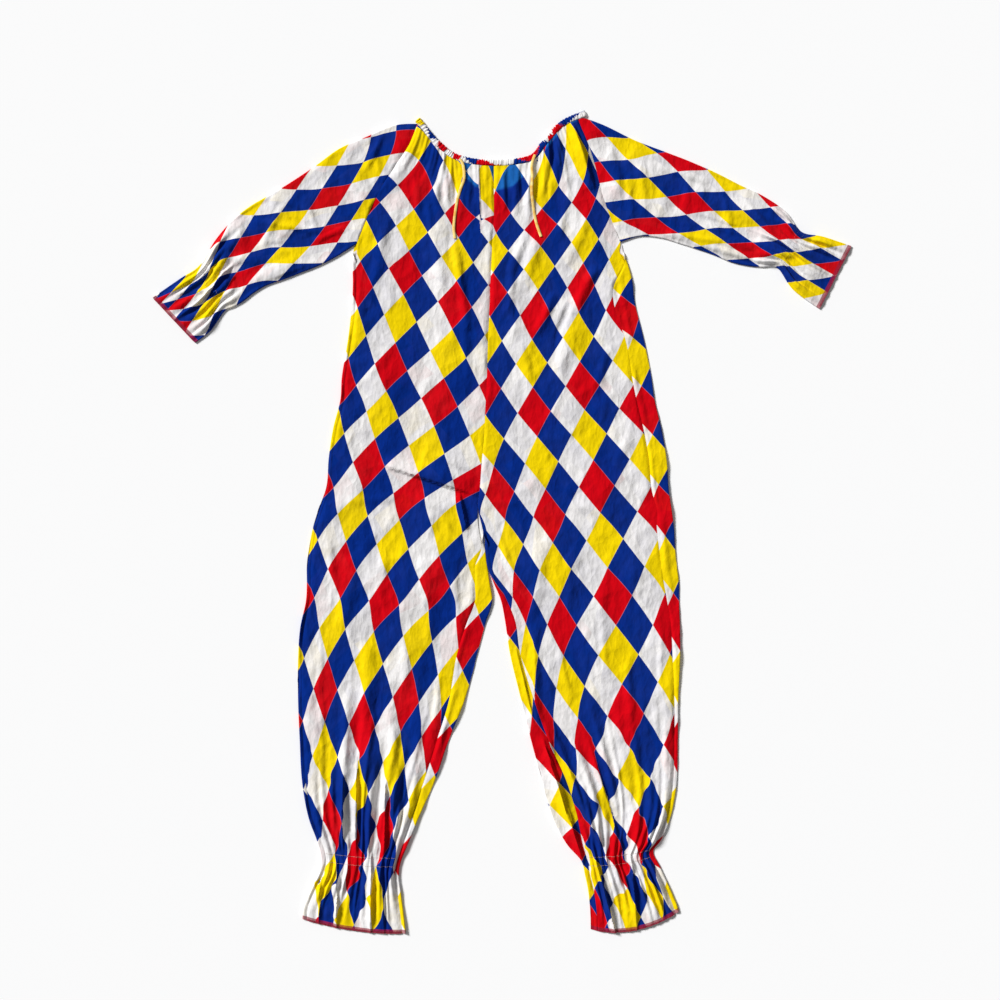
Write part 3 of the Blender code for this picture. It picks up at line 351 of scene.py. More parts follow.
# The print is a lattice of diamonds. a counts its columns across a panel, b its rows down it.
# Rows of a front: station, a at five even shares of the row, and b at three.
FRONT_PRINT = {
    Side.LEFT: (
        (0, 2, 3.2, 4.4, 6.5, 8.5, -4.6, -3.75, -4.4),
        (1, 1.4, 2.6, 4.2, 6.3, 8.5, -4.05, -3.25, -4),
        (1.9, 0.95, 2.15, 3.7, 5.75, 7.9, -3.6, -3.05, -3.6),
        (2.4, 0.6, 1.9, 3.6, 5.5, 7.3, -3.25, -2.75, -2.6),
        (3, 0.1, 1.6, 3.4, 5.3, 7.25, -2.85, -2.4, -1.95),
        (4, -0.8, 1.2, 3.2, 5.2, 7.1, -2.15, -1.8, -1.4),
        (6, -1.5, 1, 2.9, 5, 7.1, -1.15, -1, -0.7),
        (8, -1.3, 1.2, 3.1, 5.1, 7.15, -0.5, -0.4, -0.25),
        (10, -1.1, 1.5, 3.4, 5.35, 7.3, 0.65, 0.6, 0.6),
        (13, -0.6, 1.8, 3.8, 5.8, 7.75, 2.45, 2.25, 1.95),
        (14.5, -0.35, 2.1, 4.3, 6.3, 8.1, 3.2, 3.05, 2.7),
        (16, -0.1, 2.4, 4.9, 7.1, 9.4, 3.95, 3.8, 3.5),
        (19, -0.4, 2.6, 5.4, 7.8, 10.7, 4.95, 4.85, 4.5),
        (22, -0.3, 2.9, 5.7, 8.3, 11, 6, 5.9, 5.6),
        (24, -0.1, 3.2, 5.8, 8.5, 11.6, 7.2, 7.1, 6.85),
        (26, 0.2, 2.8, 5.5, 8.2, 11.1, 8.35, 8.3, 8.15),
        (28, 0.2, 2.7, 5.6, 7.7, 10.2, 9.35, 9.3, 9.15),
        (29, 1.2, 3.8, 5.9, 7.9, 10, 9.6, 9.5, 9.4), (31, 1.3, 3.7, 5.8, 8, 10.2, 10.1, 9.95, 9.7),
        (33, 0.95, 3.6, 6.1, 8.4, 10.4, 10.62, 10.6, 10.35),
    ),
    Side.RIGHT: (
        (0, 9, 6.9, 5.1, 3.7, 2.2, -2.5, -2.1, -1.9),
        (1, 9.3, 6.95, 5.15, 3.75, 1.9, -2.1, -1.7, -1.6),
        (2, 9.6, 7, 5.2, 3.8, 1.6, -1.75, -1.4, -0.95),
        (4, 9.8, 7.5, 5.5, 3.8, 1.85, -0.55, -0.05, 0.45),
        (6, 10.8, 8.4, 6, 4, 1.85, 0.4, 0.7, 1.1), (7, 11.3, 8.7, 6.2, 4.05, 1.9, 0.65, 1, 1.35),
        (8, 10.7, 8.2, 6, 4, 1.95, 1.05, 1.3, 1.6), (10, 11, 8.9, 6.6, 4.5, 2.1, 2.15, 2.35, 2.55),
        (13, 11.1, 8.9, 6.6, 4.3, 1.9, 4, 4, 3.95), (16, 11, 8.6, 6.2, 3.3, 0.25, 5.5, 5.4, 5.2),
        (19, 11, 8.6, 6.3, 3.6, 0.05, 6.5, 6.45, 6.4),
        (22, 11.3, 8.9, 6.8, 4.7, 0.8, 7.55, 7.5, 7.5),
        (24, 11, 8.8, 7, 4.8, 1.7, 8.85, 8.75, 8.65),
        (26, 10.4, 8.75, 7, 4.7, 2.1, 10.05, 10, 10.05),
        (28, 9.9, 7.9, 5.5, 3.7, 1.2, 11.1, 11.2, 11.6),
        (29, 9.9, 7.1, 4.9, 3.4, 1.2, 11.35, 11.45, 11.9),
        (31, 10.1, 7.4, 5.1, 4, 1.9, 11.8, 12.1, 12.6),
        (33, 9.9, 7.1, 5.4, 4, 1.7, 12.4, 12.8, 13.3),
    ),
}
# Rows of a sleeve: a at five even shares from the upper fold to the lower one, then b there.
SLEEVE_PRINT = {
    Side.LEFT: (
        (-0.6, -1.6, -2.4, -4, -6, 4.1, 3.4, 2.65, 2.05, 1.45),
        (0.4, -0.7, -1.8, -4, -6.1, 3.6, 2.9, 2.25, 1.7, 1.1),
        (1.4, 0, -1.7, -4, -6, 2.8, 2.3, 1.75, 1.25, 0.75),
        (2.3, 0.2, -1.5, -3.7, -5.9, 2.1, 1.8, 1.35, 0.8, 0.4),
        (1.9, 0.1, -1.5, -3.8, -6, 1.6, 1.3, 0.9, 0.45, 0),
        (1.6, 0, -1.7, -3.8, -6, 1.05, 0.75, 0.45, 0, -0.4),
        (1.6, 0.1, -1.8, -4, -5.9, 0.5, 0.3, -0.05, -0.5, -0.75),
        (1.7, 0.1, -1.6, -4, -6, -0.05, -0.2, -0.45, -0.75, -1),
        (1.6, 0.1, -1.8, -4.2, -6.1, -0.6, -0.7, -0.85, -1.05, -1.3),
        (1.5, -0.3, -2.3, -4.2, -5.7, -1.1, -1.2, -1.3, -1.45, -1.55),
        (1.5, -0.2, -2.2, -4, -5.3, -1.65, -1.65, -1.7, -1.75, -1.75),
        (3.6, 0.5, -2.4, -4.2, -5.8, -2.05, -2, -2.05, -2.15, -2.3),
        (3.5, -0.5, -2.9, -4.6, -6.3, -3, -3.1, -3.05, -2.95, -2.9),
    ),
    Side.RIGHT: (
        (2.6, 0.3, -1.4, -3.3, -6.1, -1.2, -0.8, -0.3, 0.15, 0.55),
        (2.9, 1.1, -0.7, -2.6, -5.1, -0.7, -0.3, 0.1, 0.45, 0.85),
        (2.8, 0.8, -0.8, -2.5, -4.8, 0.05, 0.3, 0.6, 0.95, 1.25),
        (2.1, 0.5, -0.9, -2.6, -5, 0.6, 0.85, 1.1, 1.35, 1.6),
        (2.1, 0.5, -1, -2.9, -5.3, 1.15, 1.35, 1.6, 1.75, 1.95),
        (2, 0.5, -1.1, -3.3, -5.6, 1.7, 1.85, 2.05, 2.2, 2.25),
        (1.8, 0.3, -1.4, -3.7, -6, 2.25, 2.35, 2.5, 2.6, 2.6),
        (1.7, 0.2, -1.5, -3.7, -5.8, 2.8, 2.85, 2.95, 3, 2.95),
        (1.1, -0.3, -1.8, -3.6, -5.4, 3.35, 3.4, 3.4, 3.4, 3.35),
        (-0.4, -1.6, -2.8, -4, -5.2, 3.9, 3.9, 3.85, 3.8, 3.75),
        (-0.5, -2.2, -3.9, -5.7, -7.4, 4.4, 4.4, 4.35, 4.3, 4.25),
        (-1.4, -3.3, -5.2, -7.1, -8.5, 5.1, 5.1, 5.05, 5.05, 5),
    ),
}
# A back: a at its side seam, a at its centre seam, whether the front's print runs on round the
# side seam, and rows of station, b at the side seam and b at the centre or inner seam.
BACK_PRINT = {
    Side.LEFT: (18, 10.5, True, (
        (0, -2.6, -2.9), (6, -1.1, -0.8), (10, 0.7, 0.6), (16, 3.9, 3.85), (18, 4.6, 4.05),
        (19, 4.9, 4.25), (21, 5.6, 4.7), (23, 6.6, 5.75), (24, 7.2, 6.4), (25, 7.8, 7.3),
        (26, 8.3, 8.1), (28, 9.3, 9.2), (33, 10.9, 10.9),
    )),
    Side.RIGHT: (10.55, 20.45, False, (
        (0, -1.7, -1.6), (6, 0, 0.8), (7, 0.3, 1), (10, 2.1, 2.3), (13, 3.95, 4), (16, 5.5, 6.5),
        (19, 6.5, 6.55), (20.5, 7, 6.65), (22, 7.6, 7.1), (23, 8.2, 7.9), (24, 8.85, 8.3),
        (25, 9.4, 8.75), (26, 10, 9.4), (27, 10.6, 10.1), (28, 11.2, 11), (29, 11.5, 11.5),
        (33, 12.9, 13),
    )),
}
# The casing's print, squeezed by its gathers: places along the neck line, and its columns.
CASING_PRINT = (
    (0, 2), (0.25, 1.5), (0.4, 1), (0.6, 0.5), (0.7, 0.1), (0.8, 0.5), (0.9, 1), (1, 1.5),
    (1.2, 2), (1.45, 1.5), (1.6, 1.1), (1.72, 1.5), (1.85, 2), (1.97, 1.5), (2.1, 1), (2.25, 0.5),
    (2.4, 0), (2.55, -0.5), (2.7, -1), (2.85, -1.5), (3.2, -2), (3.5, -2.5), (3.62, -3),
    (3.75, -3.5), (4, -4), (4.4, -3.5), (4.7, -3), (5, -2.5), (5.05, -2), (5.12, -1.5),
    (5.3, -1.2), (5.4, -1.7), (5.5, -1), (5.75, -0.9), (5.9, -0.5), (6.2, 0), (6.5, 0.5), (6.8, 1),
    (7, 1),
)
# Plan points of the ties, from the casing to their bare ends.
TIE_ROUTE = {
    Side.LEFT: (
        (-77, 663), (-71, 652), (-69, 628), (-75, 610), (-81, 590), (-86, 560), (-88, 538),
        (-86, 519),
    ),
    Side.RIGHT: (
        (60, 671), (54, 652), (55, 631), (54, 604), (57, 577), (62, 549), (71, 522),
    ),
}


def smooth_read(values: np.ndarray | Rows, places: np.ndarray) -> np.ndarray:
    """Read rows of values at fractional places, on a Catmull-Rom curve through them.

    Args:
        values: One row of numbers for each whole place.
        places: Places to read, of any shape.

    Returns:
        The rows read, with the shape of places and one more axis.
    """
    values = np.asarray(values, dtype=float)
    last = len(values) - 1
    index = np.clip(np.floor(places).astype(int), 0, last - 1)
    part = (np.asarray(places, dtype=float) - index)[..., None]
    before, start, end, after = (values[np.clip(index + k, 0, last)] for k in (-1, 0, 1, 2))
    square = before - 2.5 * start + 2.0 * end - 0.5 * after
    cube = 0.5 * (after - before) + 1.5 * (start - end)
    return start + 0.5 * (end - before) * part + square * part**2 + cube * part**3


def blurred_read(
    knots: np.ndarray, values: np.ndarray, places: np.ndarray, blur: np.ndarray
) -> np.ndarray:
    """Read rows of values on straight lines between knots, averaged with a bell curve.

    The lines run on straight past both ends, so what is even stays even.

    Args:
        knots: Place of each row of values.
        values: The rows.
        places: Places to read.
        blur: Spread of the bell at each place, in the unit of the places.

    Returns:
        A row of values for each place.
    """
    far = 8.0 * blur.max()
    before = values[0] - (values[1] - values[0]) * far / (knots[1] - knots[0])
    after = values[-1] + (values[-1] - values[-2]) * far / (knots[-1] - knots[-2])
    knots = np.concatenate(((knots[0] - far,), knots, (knots[-1] + far,)))
    values = np.concatenate((before[None], values, after[None]))
    spread = np.linspace(-2.5, 2.5, 15)
    weights = np.exp(-0.5 * spread**2)
    weights /= weights.sum()
    shifted = places[:, None] + blur[:, None] * spread[None, :]
    columns = [np.interp(shifted, knots, column) @ weights for column in values.T]
    return np.stack(columns, axis=1)


def share_weights(count: int, shares: np.ndarray) -> np.ndarray:
    """Return weights of count even values at shares, a row each: the best cubic through them."""
    powers = min(count, 4)
    return np.vander(shares, powers) @ np.linalg.pinv(np.vander(np.linspace(0, 1, count), powers))


def soft_step(values: np.ndarray, low: float, high: float) -> np.ndarray:
    """Rise from 0 at low to 1 at high, as 3t^2 - 2t^3."""
    share = np.clip((values - low) / (high - low), 0.0, 1.0)
    return share * share * (3.0 - 2.0 * share)


def unit(vectors: np.ndarray) -> np.ndarray:
    """Return vectors of length 1 that point the same ways."""
    return vectors / np.maximum(np.linalg.norm(vectors, axis=-1, keepdims=True), 1e-9)


def arc_length(line: np.ndarray) -> np.ndarray:
    """Return how far each point of a line is from its start, along it."""
    steps = np.linalg.norm(np.diff(line, axis=0), axis=1)
    return np.concatenate(((0.0,), np.cumsum(steps)))


def read_along(line: np.ndarray, length: np.ndarray, along: np.ndarray) -> np.ndarray:
    """Return points of a line at lengths along it."""
    return np.stack([np.interp(along, length, column) for column in line.T], axis=1)


def row_width(table: np.ndarray) -> np.ndarray:
    """Return the width of each row of a table that starts with its two ends' x and y."""
    return np.linalg.norm(table[:, 2:4] - table[:, 0:2], axis=1)


def with_height(plan: np.ndarray, height: np.ndarray) -> np.ndarray:
    """Return plan points with their heights beside them."""
    return np.concatenate((plan, height[..., None]), axis=-1)


def body_side(line: Rows, places: np.ndarray) -> np.ndarray:
    """Return unit plan vectors across a neck line that point to the body, at places on it."""
    step = 0.05
    ahead = smooth_read(line, np.minimum(places + step, len(line) - 1))
    along = unit(ahead - smooth_read(line, np.maximum(places - step, 0.0)))
    return np.stack((along[..., 1], -along[..., 0]), axis=-1)


def casing_edge(line: Rows, places: np.ndarray) -> np.ndarray:
    """Return the plan points just below the casing, where cloth gathered into it starts."""
    reach = CASING_WIDTH / 2 + CASING_GAP
    return smooth_read(line, places) + reach * body_side(line, places)


def uneven_share(share: np.ndarray) -> np.ndarray:
    """Shift a column's place a little, so that gathers differ in width."""
    return share + 0.010 * np.sin(6 * np.pi * share) + 0.006 * np.sin(10 * np.pi * share)


def gather_height(share: np.ndarray, waves: np.ndarray, ruffle: np.ndarray) -> np.ndarray:
    """Return the height of gathers across a row.

    Each wave is ruffle times (0.5 - 0.5 cos) and starts in a trough, and its crest is
    0.56 to 1 of the ruffle, by the wave's number.

    Args:
        share: Places across the row.
        waves: Number of waves across it.
        ruffle: Height of the tallest.

    Returns:
        Heights in millimetres.
    """
    wave = 0.5 - 0.5 * np.cos(2 * np.pi * waves * share)
    unevenness = GATHER_MEAN + GATHER_SPREAD * np.sin(2.4 * np.floor(waves * share) + 0.7)
    return ruffle * wave * unevenness


def ridge_height(points: np.ndarray, folds: Rows) -> np.ndarray:
    """Return how far ridges and troughs lift the cloth: height times cos^2 over the width.

    Args:
        points: Plan points, on the last axis.
        folds: Values of the folds.

    Returns:
        Heights in millimetres.
    """
    height = np.zeros(points.shape[:-1])
    for fold in (Fold(*row) for row in folds):
        full, side = fold.frame(points)
        crown = np.cos(0.5 * np.pi * np.minimum(np.abs(side) / fold.width, 1.0)) ** 2
        height += fold.height * crown * full
    return height


def tuck_lift(points: np.ndarray, tucks: Rows) -> tuple[np.ndarray, np.ndarray, np.ndarray]:
    """Return how far tucks lift the cloth, and how they shift the print.

    On the rising side the height grows as the square of the nearness to the line, and it
    drops to nothing over 4 mm past it, where other folds are flattened into a pocket. The
    print jumps at the line and comes back to its place on both sides.

    Args:
        points: Plan points, on the last axis.
        tucks: Values of the tucks.

    Returns:
        Heights in millimetres, shifts in print columns and rows, and what is left of
        other folds.
    """
    height = np.zeros(points.shape[:-1])
    shift = np.zeros(points.shape)
    left = np.ones(points.shape[:-1])
    for tuck in (Fold(*row) for row in tucks):
        full, side = tuck.frame(points)
        near = np.clip(1.0 + side / tuck.width, 0.0, 1.0)
        height += tuck.height * full * near**2 * (1.0 - soft_step(side, -0.5, 3.5))
        pocket = soft_step(side, -1.0, 2.0) * (1.0 - soft_step(side, 0.5 * tuck.width, tuck.width))
        left *= 1.0 - min(tuck.height / FULL_TUCK, MOST_FLATTENED) * full * pocket
        away = np.exp(-np.abs(side) / (PRINT_RETURN * tuck.width))
        jump = full * away * (soft_step(side, 0.4, 2.0) - 0.5)
        shift += jump[..., None] * np.array((tuck.hidden, tuck.rows))
    return height, shift, left


def lattice_noise(x: np.ndarray, y: np.ndarray, cell: float, seed: int) -> np.ndarray:
    """Return smooth noise from 0 to 1, read from a seeded lattice of the given cell size."""
    table = np.random.default_rng(seed).random((LATTICE_SIZE, LATTICE_SIZE))
    column, row = (np.floor(axis / cell).astype(int) for axis in (x, y))
    across = soft_step(x / cell - column, 0.0, 1.0)
    down = soft_step(y / cell - row, 0.0, 1.0)
    first, second, third, fourth = (
        table[(row + k) % LATTICE_SIZE, (column + n) % LATTICE_SIZE]
        for k in (0, 1) for n in (0, 1)
    )
    upper = first + (second - first) * across
    lower = third + (fourth - third) * across
    return upper + (lower - upper) * down


def facet_noise(x: np.ndarray, y: np.ndarray, cell: float, seed: int) -> np.ndarray:
    """Return the distance, in cells, to the nearest of seeded points, one to each cell.

    It is a field of cones that meet in sharp lines, as crumpled cloth does.
    """
    table = np.random.default_rng(seed).random((LATTICE_SIZE, LATTICE_SIZE, 2))
    u, v = x / cell, y / cell
    column, row = np.floor(u).astype(int), np.floor(v).astype(int)
    nearest = np.full(u.shape, 4.0)
    for down in (-1, 0, 1):
        for across in (-1, 0, 1):
            spot = table[(row + down) % LATTICE_SIZE, (column + across) % LATTICE_SIZE]
            gap = np.hypot(column + across + spot[..., 0] - u, row + down + spot[..., 1] - v)
            nearest = np.minimum(nearest, gap)
    return nearest


def crumple(points: np.ndarray, seed: int) -> np.ndarray:
    """Return the small creases of washed cotton, in millimetres.

    Facets on lattices of 64, 31 and 15 mm, turned and stretched against each other, over
    a soft noise on 55 mm; each layer is its size times the distance from a facet's middle.

    Args:
        points: Plan points, on the last axis.
        seed: Seed of the lattices.

    Returns:
        Heights around 0.
    """
    x = points[..., 0]
    y = points[..., 1]
    bend = BEND_SIZE * lattice_noise(x, y, BEND_CELL, seed + 9)
    swell = lattice_noise(x, y / SWELL_STRETCH, SWELL_CELL, seed + 11)
    height = SWELL_SIZE * (swell - 0.5)
    for turn, cell, stretch, size in CRUMPLE_LAYERS:
        across = x * math.cos(turn) + y * math.sin(turn) + bend
        down = (-x * math.sin(turn) + y * math.cos(turn)) / stretch + bend
        height += size * (facet_noise(across, down, cell, seed) - FACET_MEAN)
        seed += 1
    return height


def laid_relief(relief: np.ndarray) -> np.ndarray:
    """Return what crumpling leaves of cloth that rests on the surface: it can only rise."""
    return np.clip(0.3 * relief + 0.2, 0.0, CRUMPLE_TOP)


def hem_distance(points: np.ndarray) -> np.ndarray:
    """Return how far each point of a grid is from the hem, its last row."""
    return np.minimum(np.linalg.norm(points - points[-1:], axis=2), HEM_FAR)


def add_object(name: str, data: bpy.types.ID) -> bpy.types.Object:
    """Return a new object in the scene."""
    made = bpy.data.objects.new(name, data)
    bpy.context.collection.objects.link(made)
    return made


@dataclass
class ClothMesh:
    """Points, faces and maps of one piece, before it becomes a mesh.

    Points are in millimetres. Each block of faces holds point numbers, and the block of
    corners beside it holds the numbers into the maps.
    """

    points: np.ndarray
    faces: list[np.ndarray]
    corners: list[np.ndarray] = field(default_factory=list)
    maps: dict[str, np.ndarray] = field(default_factory=dict)
    fields: dict[str, np.ndarray] = field(default_factory=dict)

    def make(self, name: str, material: bpy.types.Material, slot: str) -> bpy.types.Object:
        """Put the piece into the scene.

        Args:
            name: Name of the piece.
            material: Its material.
            slot: Not used.

        Returns:
            The new object, which rides on the root.
        """
        mesh = bpy.data.meshes.new(name)
        mesh.vertices.add(len(self.points))
        mesh.vertices.foreach_set("co", ((self.points - ORIGIN) * MM).ravel())
        loops = np.concatenate([block.ravel() for block in self.faces])
        sizes = np.concatenate([np.full(len(block), block.shape[1]) for block in self.faces])
        mesh.loops.add(len(loops))
        mesh.loops.foreach_set("vertex_index", loops.astype(np.int32))
        mesh.polygons.add(len(sizes))
        starts = np.concatenate(((0,), np.cumsum(sizes)[:-1]))
        mesh.polygons.foreach_set("loop_start", starts.astype(np.int32))
        for key, values in self.maps.items():
            chosen = np.concatenate([block.ravel() for block in self.corners])
            mesh.uv_layers.new(name=key)
            mesh.uv_layers[key].data.foreach_set("uv", values[chosen].ravel())
        for key, values in self.fields.items():
            layer = mesh.attributes.new(key, "FLOAT", "POINT")
            layer.data.foreach_set("value", values.ravel().astype(np.float32))
        mesh.update(calc_edges=True)
        mesh.validate()
        mesh.shade_smooth()
        mesh.set_sharp_from_angle(angle=SHARP_ANGLE)
        mesh.materials.append(material)
        piece = add_object(name, mesh)
        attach(piece, "root")
        LOG.info("%s: %d points, %d faces", name, len(self.points), len(sizes))
        return piece


def corner_block(
    row: np.ndarray, column: np.ndarray, steps: tuple[tuple[int, int, int], ...]
) -> np.ndarray:
    """Return quads as (layer, row, column) corners.

    Args:
        row: Row of each quad.
        column: Column of each quad.
        steps: Layer, row step and column step of the four corners.

    Returns:
        An array of quads by corner by (layer, row, column).
    """
    corners = [
        np.stack((np.full_like(row, layer), row + down, column + across), axis=-1)
        for layer, down, across in steps
    ]
    return np.stack(corners, axis=1)


def shell(
    outer: np.ndarray,
    flip: bool,
    wrapped: bool,
    maps: dict[str, np.ndarray],
    fields: dict[str, np.ndarray],
) -> ClothMesh:
    """Make a closed sheet from a grid: the grid itself, its offset inwards, and the rims.

    Args:
        outer: Grid of points, rows by columns by 3.
        flip: Whether columns crossed with rows point inwards.
        wrapped: Whether the last column meets the first, as round a sleeve.
        maps: Two numbers at each grid point, with one more column where wrapped.
        fields: One number at each grid point.

    Returns:
        The piece.
    """
    rows, columns = outer.shape[:2]
    span = columns + 1 if wrapped else columns
    if wrapped:
        across = np.roll(outer, -1, axis=1) - np.roll(outer, 1, axis=1)
    else:
        across = np.gradient(outer, axis=1)
    normal = unit(np.cross(across, np.gradient(outer, axis=0)))
    inner = outer + normal * SHEET if flip else outer - normal * SHEET
    grid = np.meshgrid(np.arange(rows - 1), np.arange(span - 1), indexing="ij")
    row, column = (axis.ravel() for axis in grid)
    ends = np.arange(span - 1)
    top = np.zeros_like(ends)
    blocks = [
        corner_block(row, column, ((0, 0, 0), (0, 0, 1), (0, 1, 1), (0, 1, 0))),
        corner_block(row, column, ((1, 0, 0), (1, 1, 0), (1, 1, 1), (1, 0, 1))),
        corner_block(top, ends, ((0, 0, 1), (0, 0, 0), (1, 0, 0), (1, 0, 1))),
        corner_block(top + rows - 1, ends, ((0, 0, 0), (0, 0, 1), (1, 0, 1), (1, 0, 0))),
    ]
    if not wrapped:
        sides = np.arange(rows - 1)
        first = np.zeros_like(sides)
        blocks += [
            corner_block(sides, first, ((0, 0, 0), (0, 1, 0), (1, 1, 0), (1, 0, 0))),
            corner_block(sides, first + columns - 1, ((0, 1, 0), (0, 0, 0), (1, 0, 0), (1, 1, 0))),
        ]
    quads = np.concatenate(blocks)
    if flip:
        quads = quads[:, ::-1]
    layer, row, column = quads[..., 0], quads[..., 1], quads[..., 2]
    return ClothMesh(
        points=np.concatenate((outer.reshape(-1, 3), inner.reshape(-1, 3))),
        faces=[layer * rows * columns + row * columns + column % columns],
        corners=[layer * rows * span + row * span + column],
        maps={key: np.tile(grid.reshape(-1, 2), (2, 1)) for key, grid in maps.items()},
        fields={key: np.tile(grid.ravel(), 2) for key, grid in fields.items()},
    )


def ring_quads(gaps: int, sides: int, count: int) -> np.ndarray:
    """Return the quads between rings of points.

    Args:
        gaps: Gaps between rings.
        sides: Points round each ring.
        count: Rings before they start again.

    Returns:
        Point numbers, quads by corner.
    """
    grid = np.meshgrid(np.arange(gaps), np.arange(sides), indexing="ij")
    row, column = (axis.ravel() for axis in grid)
    beside = (column + 1) % sides
    after = (row + 1) % count * sides
    return np.stack(
        (row * sides + column, after + column, after + beside, row * sides + beside), axis=1
    )


def tube(path: np.ndarray, wide: float, high: float, sides: int) -> ClothMesh:
    """Carry an ellipse along a path, with flat ends.

    Args:
        path: Points of the middle line.
        wide: Half width across the path, in plan.
        high: Half height.
        sides: Points round the ellipse.

    Returns:
        The piece.
    """
    along = unit(np.gradient(path, axis=0))
    across = unit(np.cross(along, UP))
    up = np.cross(across, along)
    angle = np.linspace(0.0, 2 * np.pi, sides, endpoint=False)
    ring = (
        path[:, None, :]
        + wide * np.cos(angle)[None, :, None] * across[:, None, :]
        + high * np.sin(angle)[None, :, None] * up[:, None, :]
    )
    gaps = len(path) - 1
    quads = ring_quads(gaps, sides, gaps + 1)
    caps = np.stack((np.arange(sides), gaps * sides + np.arange(sides)[::-1]))
    return ClothMesh(points=ring.reshape(-1, 3), faces=[quads[:, ::-1], caps[:, ::-1]])


def lattice_map(a: np.ndarray, b: np.ndarray) -> np.ndarray:
    """Turn print columns and rows into the diamonds' own steps, i = a/2 - b and j = a/2 + b."""
    return np.stack((0.5 * a - b, 0.5 * a + b), axis=-1)


@dataclass
class Cloth:
    """Cloth worked out in rows between two lines, which are read at fractional places."""

    samples: ClassVar[int] = 400

    side: Side
    seed: int = field(kw_only=True)
    table: np.ndarray = field(init=False)

    def read(self, places: np.ndarray) -> np.ndarray:
        """Read the table of rows at fractional places."""
        return smooth_read(self.table, places)

    def run(self) -> tuple[np.ndarray, np.ndarray]:
        """Return places down the cloth, and how far their middles are from the first."""
        fine = np.linspace(0.0, len(self.table) - 1.0, self.samples)
        table = self.read(fine)
        return fine, arc_length(0.5 * (table[:, 0:2] + table[:, 2:4]))

    def even_places(self, count: int) -> np.ndarray:
        """Return places of rows that are about equally far apart."""
        fine, length = self.run()
        return np.interp(np.linspace(0.0, length[-1], count), length, fine)

    def fading(self, places: np.ndarray) -> np.ndarray:
        """Return how much of the first row's curve is left in each row."""
        return (np.maximum(1.0 - places / FADING_ROWS, 0.0) ** 2)[:, None, None]

    def relief(self, plan: np.ndarray, creases: dict[Side, Rows]) -> np.ndarray:
        """Return the creases and the crumpling at plan points."""
        creased = CREASE_SIZE * ridge_height(plan, creases[self.side])
        return creased + CRUMPLE_SIZE * crumple(plan, self.seed)


@dataclass
class Panel(Cloth):
    """Half a front or half a back, as rows between a side line and a centre line.

    A row of its table has the x and y of the side and of the centre, the wraps there, the
    turns there, the height of the gathers, and the bow.
    """

    samples: ClassVar[int] = 600

    yoke: Rows
    neck_line: Rows
    neck_span: tuple[float, float]
    neck_ruffle: float
    neck: np.ndarray = field(init=False)

    def __post_init__(self) -> None:
        """Work out the station table and the neck edge."""
        start, end = (casing_edge(self.neck_line, np.array(place)) for place in self.neck_span)
        rows = [(*start, *end, 0, 0, 0, 0, self.neck_ruffle, 0)]
        rows += [(*row[:4], 0, 0, 0, 0, row[4], 0) for row in self.yoke]
        for row in TORSO:
            outline, wrap = (row[0:2], row[6]) if self.side is Side.LEFT else (row[4:6], row[7])
            rows.append((*outline, *row[2:4], wrap, 0, row[8], 0, 0, 0))
        rows += [(*row[:6], 180, *row[6:]) for row in LEG[self.side]]
        self.table = np.array(rows, dtype=float)
        self.neck = casing_edge(self.neck_line, np.linspace(*self.neck_span, NECK_STEPS + 1))

    def read(self, places: np.ndarray) -> np.ndarray:
        """Read the station table at fractional places, with wraps and turns kept in range."""
        table = smooth_read(self.table, places)
        table[:, [4, 5, 8]] = np.maximum(table[:, [4, 5, 8]], 0.0)
        table[:, 6:8] = np.clip(table[:, 6:8], 0.0, 180.0)
        return table

    def read_print(self, rows: np.ndarray, places: np.ndarray) -> np.ndarray:
        """Read a print table, whose first column is the station, evenly down the panel."""
        fine, length = self.run()
        knots = np.interp(rows[:, 0], fine, length)
        blur = PRINT_BLUR * (0.35 + 0.65 * soft_step(places, 2.0, 6.0))
        return blurred_read(knots, rows[:, 1:], np.interp(places, fine, length), blur)

    def plan(self, places: np.ndarray, table: np.ndarray, reach: np.ndarray) -> np.ndarray:
        """Return plan points at distances from the side end of each row.

        A row is straight, apart from its bow, a parabola, and from what is left of the
        neck's curve, which fades as (1 - place / 4)^2.

        Args:
            places: Station of each row.
            table: What read gives for the rows.
            reach: Distances, rows by columns.

        Returns:
            Points, rows by columns by 2.
        """
        side = table[:, None, 0:2]
        across = table[:, None, 2:4] - side
        width = np.linalg.norm(across, axis=2)
        share = np.clip(reach / width, 0.0, 1.0)
        points = side + across / width[..., None] * reach[..., None]
        points[..., 1] -= table[:, None, 9] * 4 * share * (1 - share)
        chord = self.neck[0] + (self.neck[-1] - self.neck[0]) * share[..., None]
        bulge = smooth_read(self.neck, share * NECK_STEPS) - chord
        return points + self.fading(places) * bulge


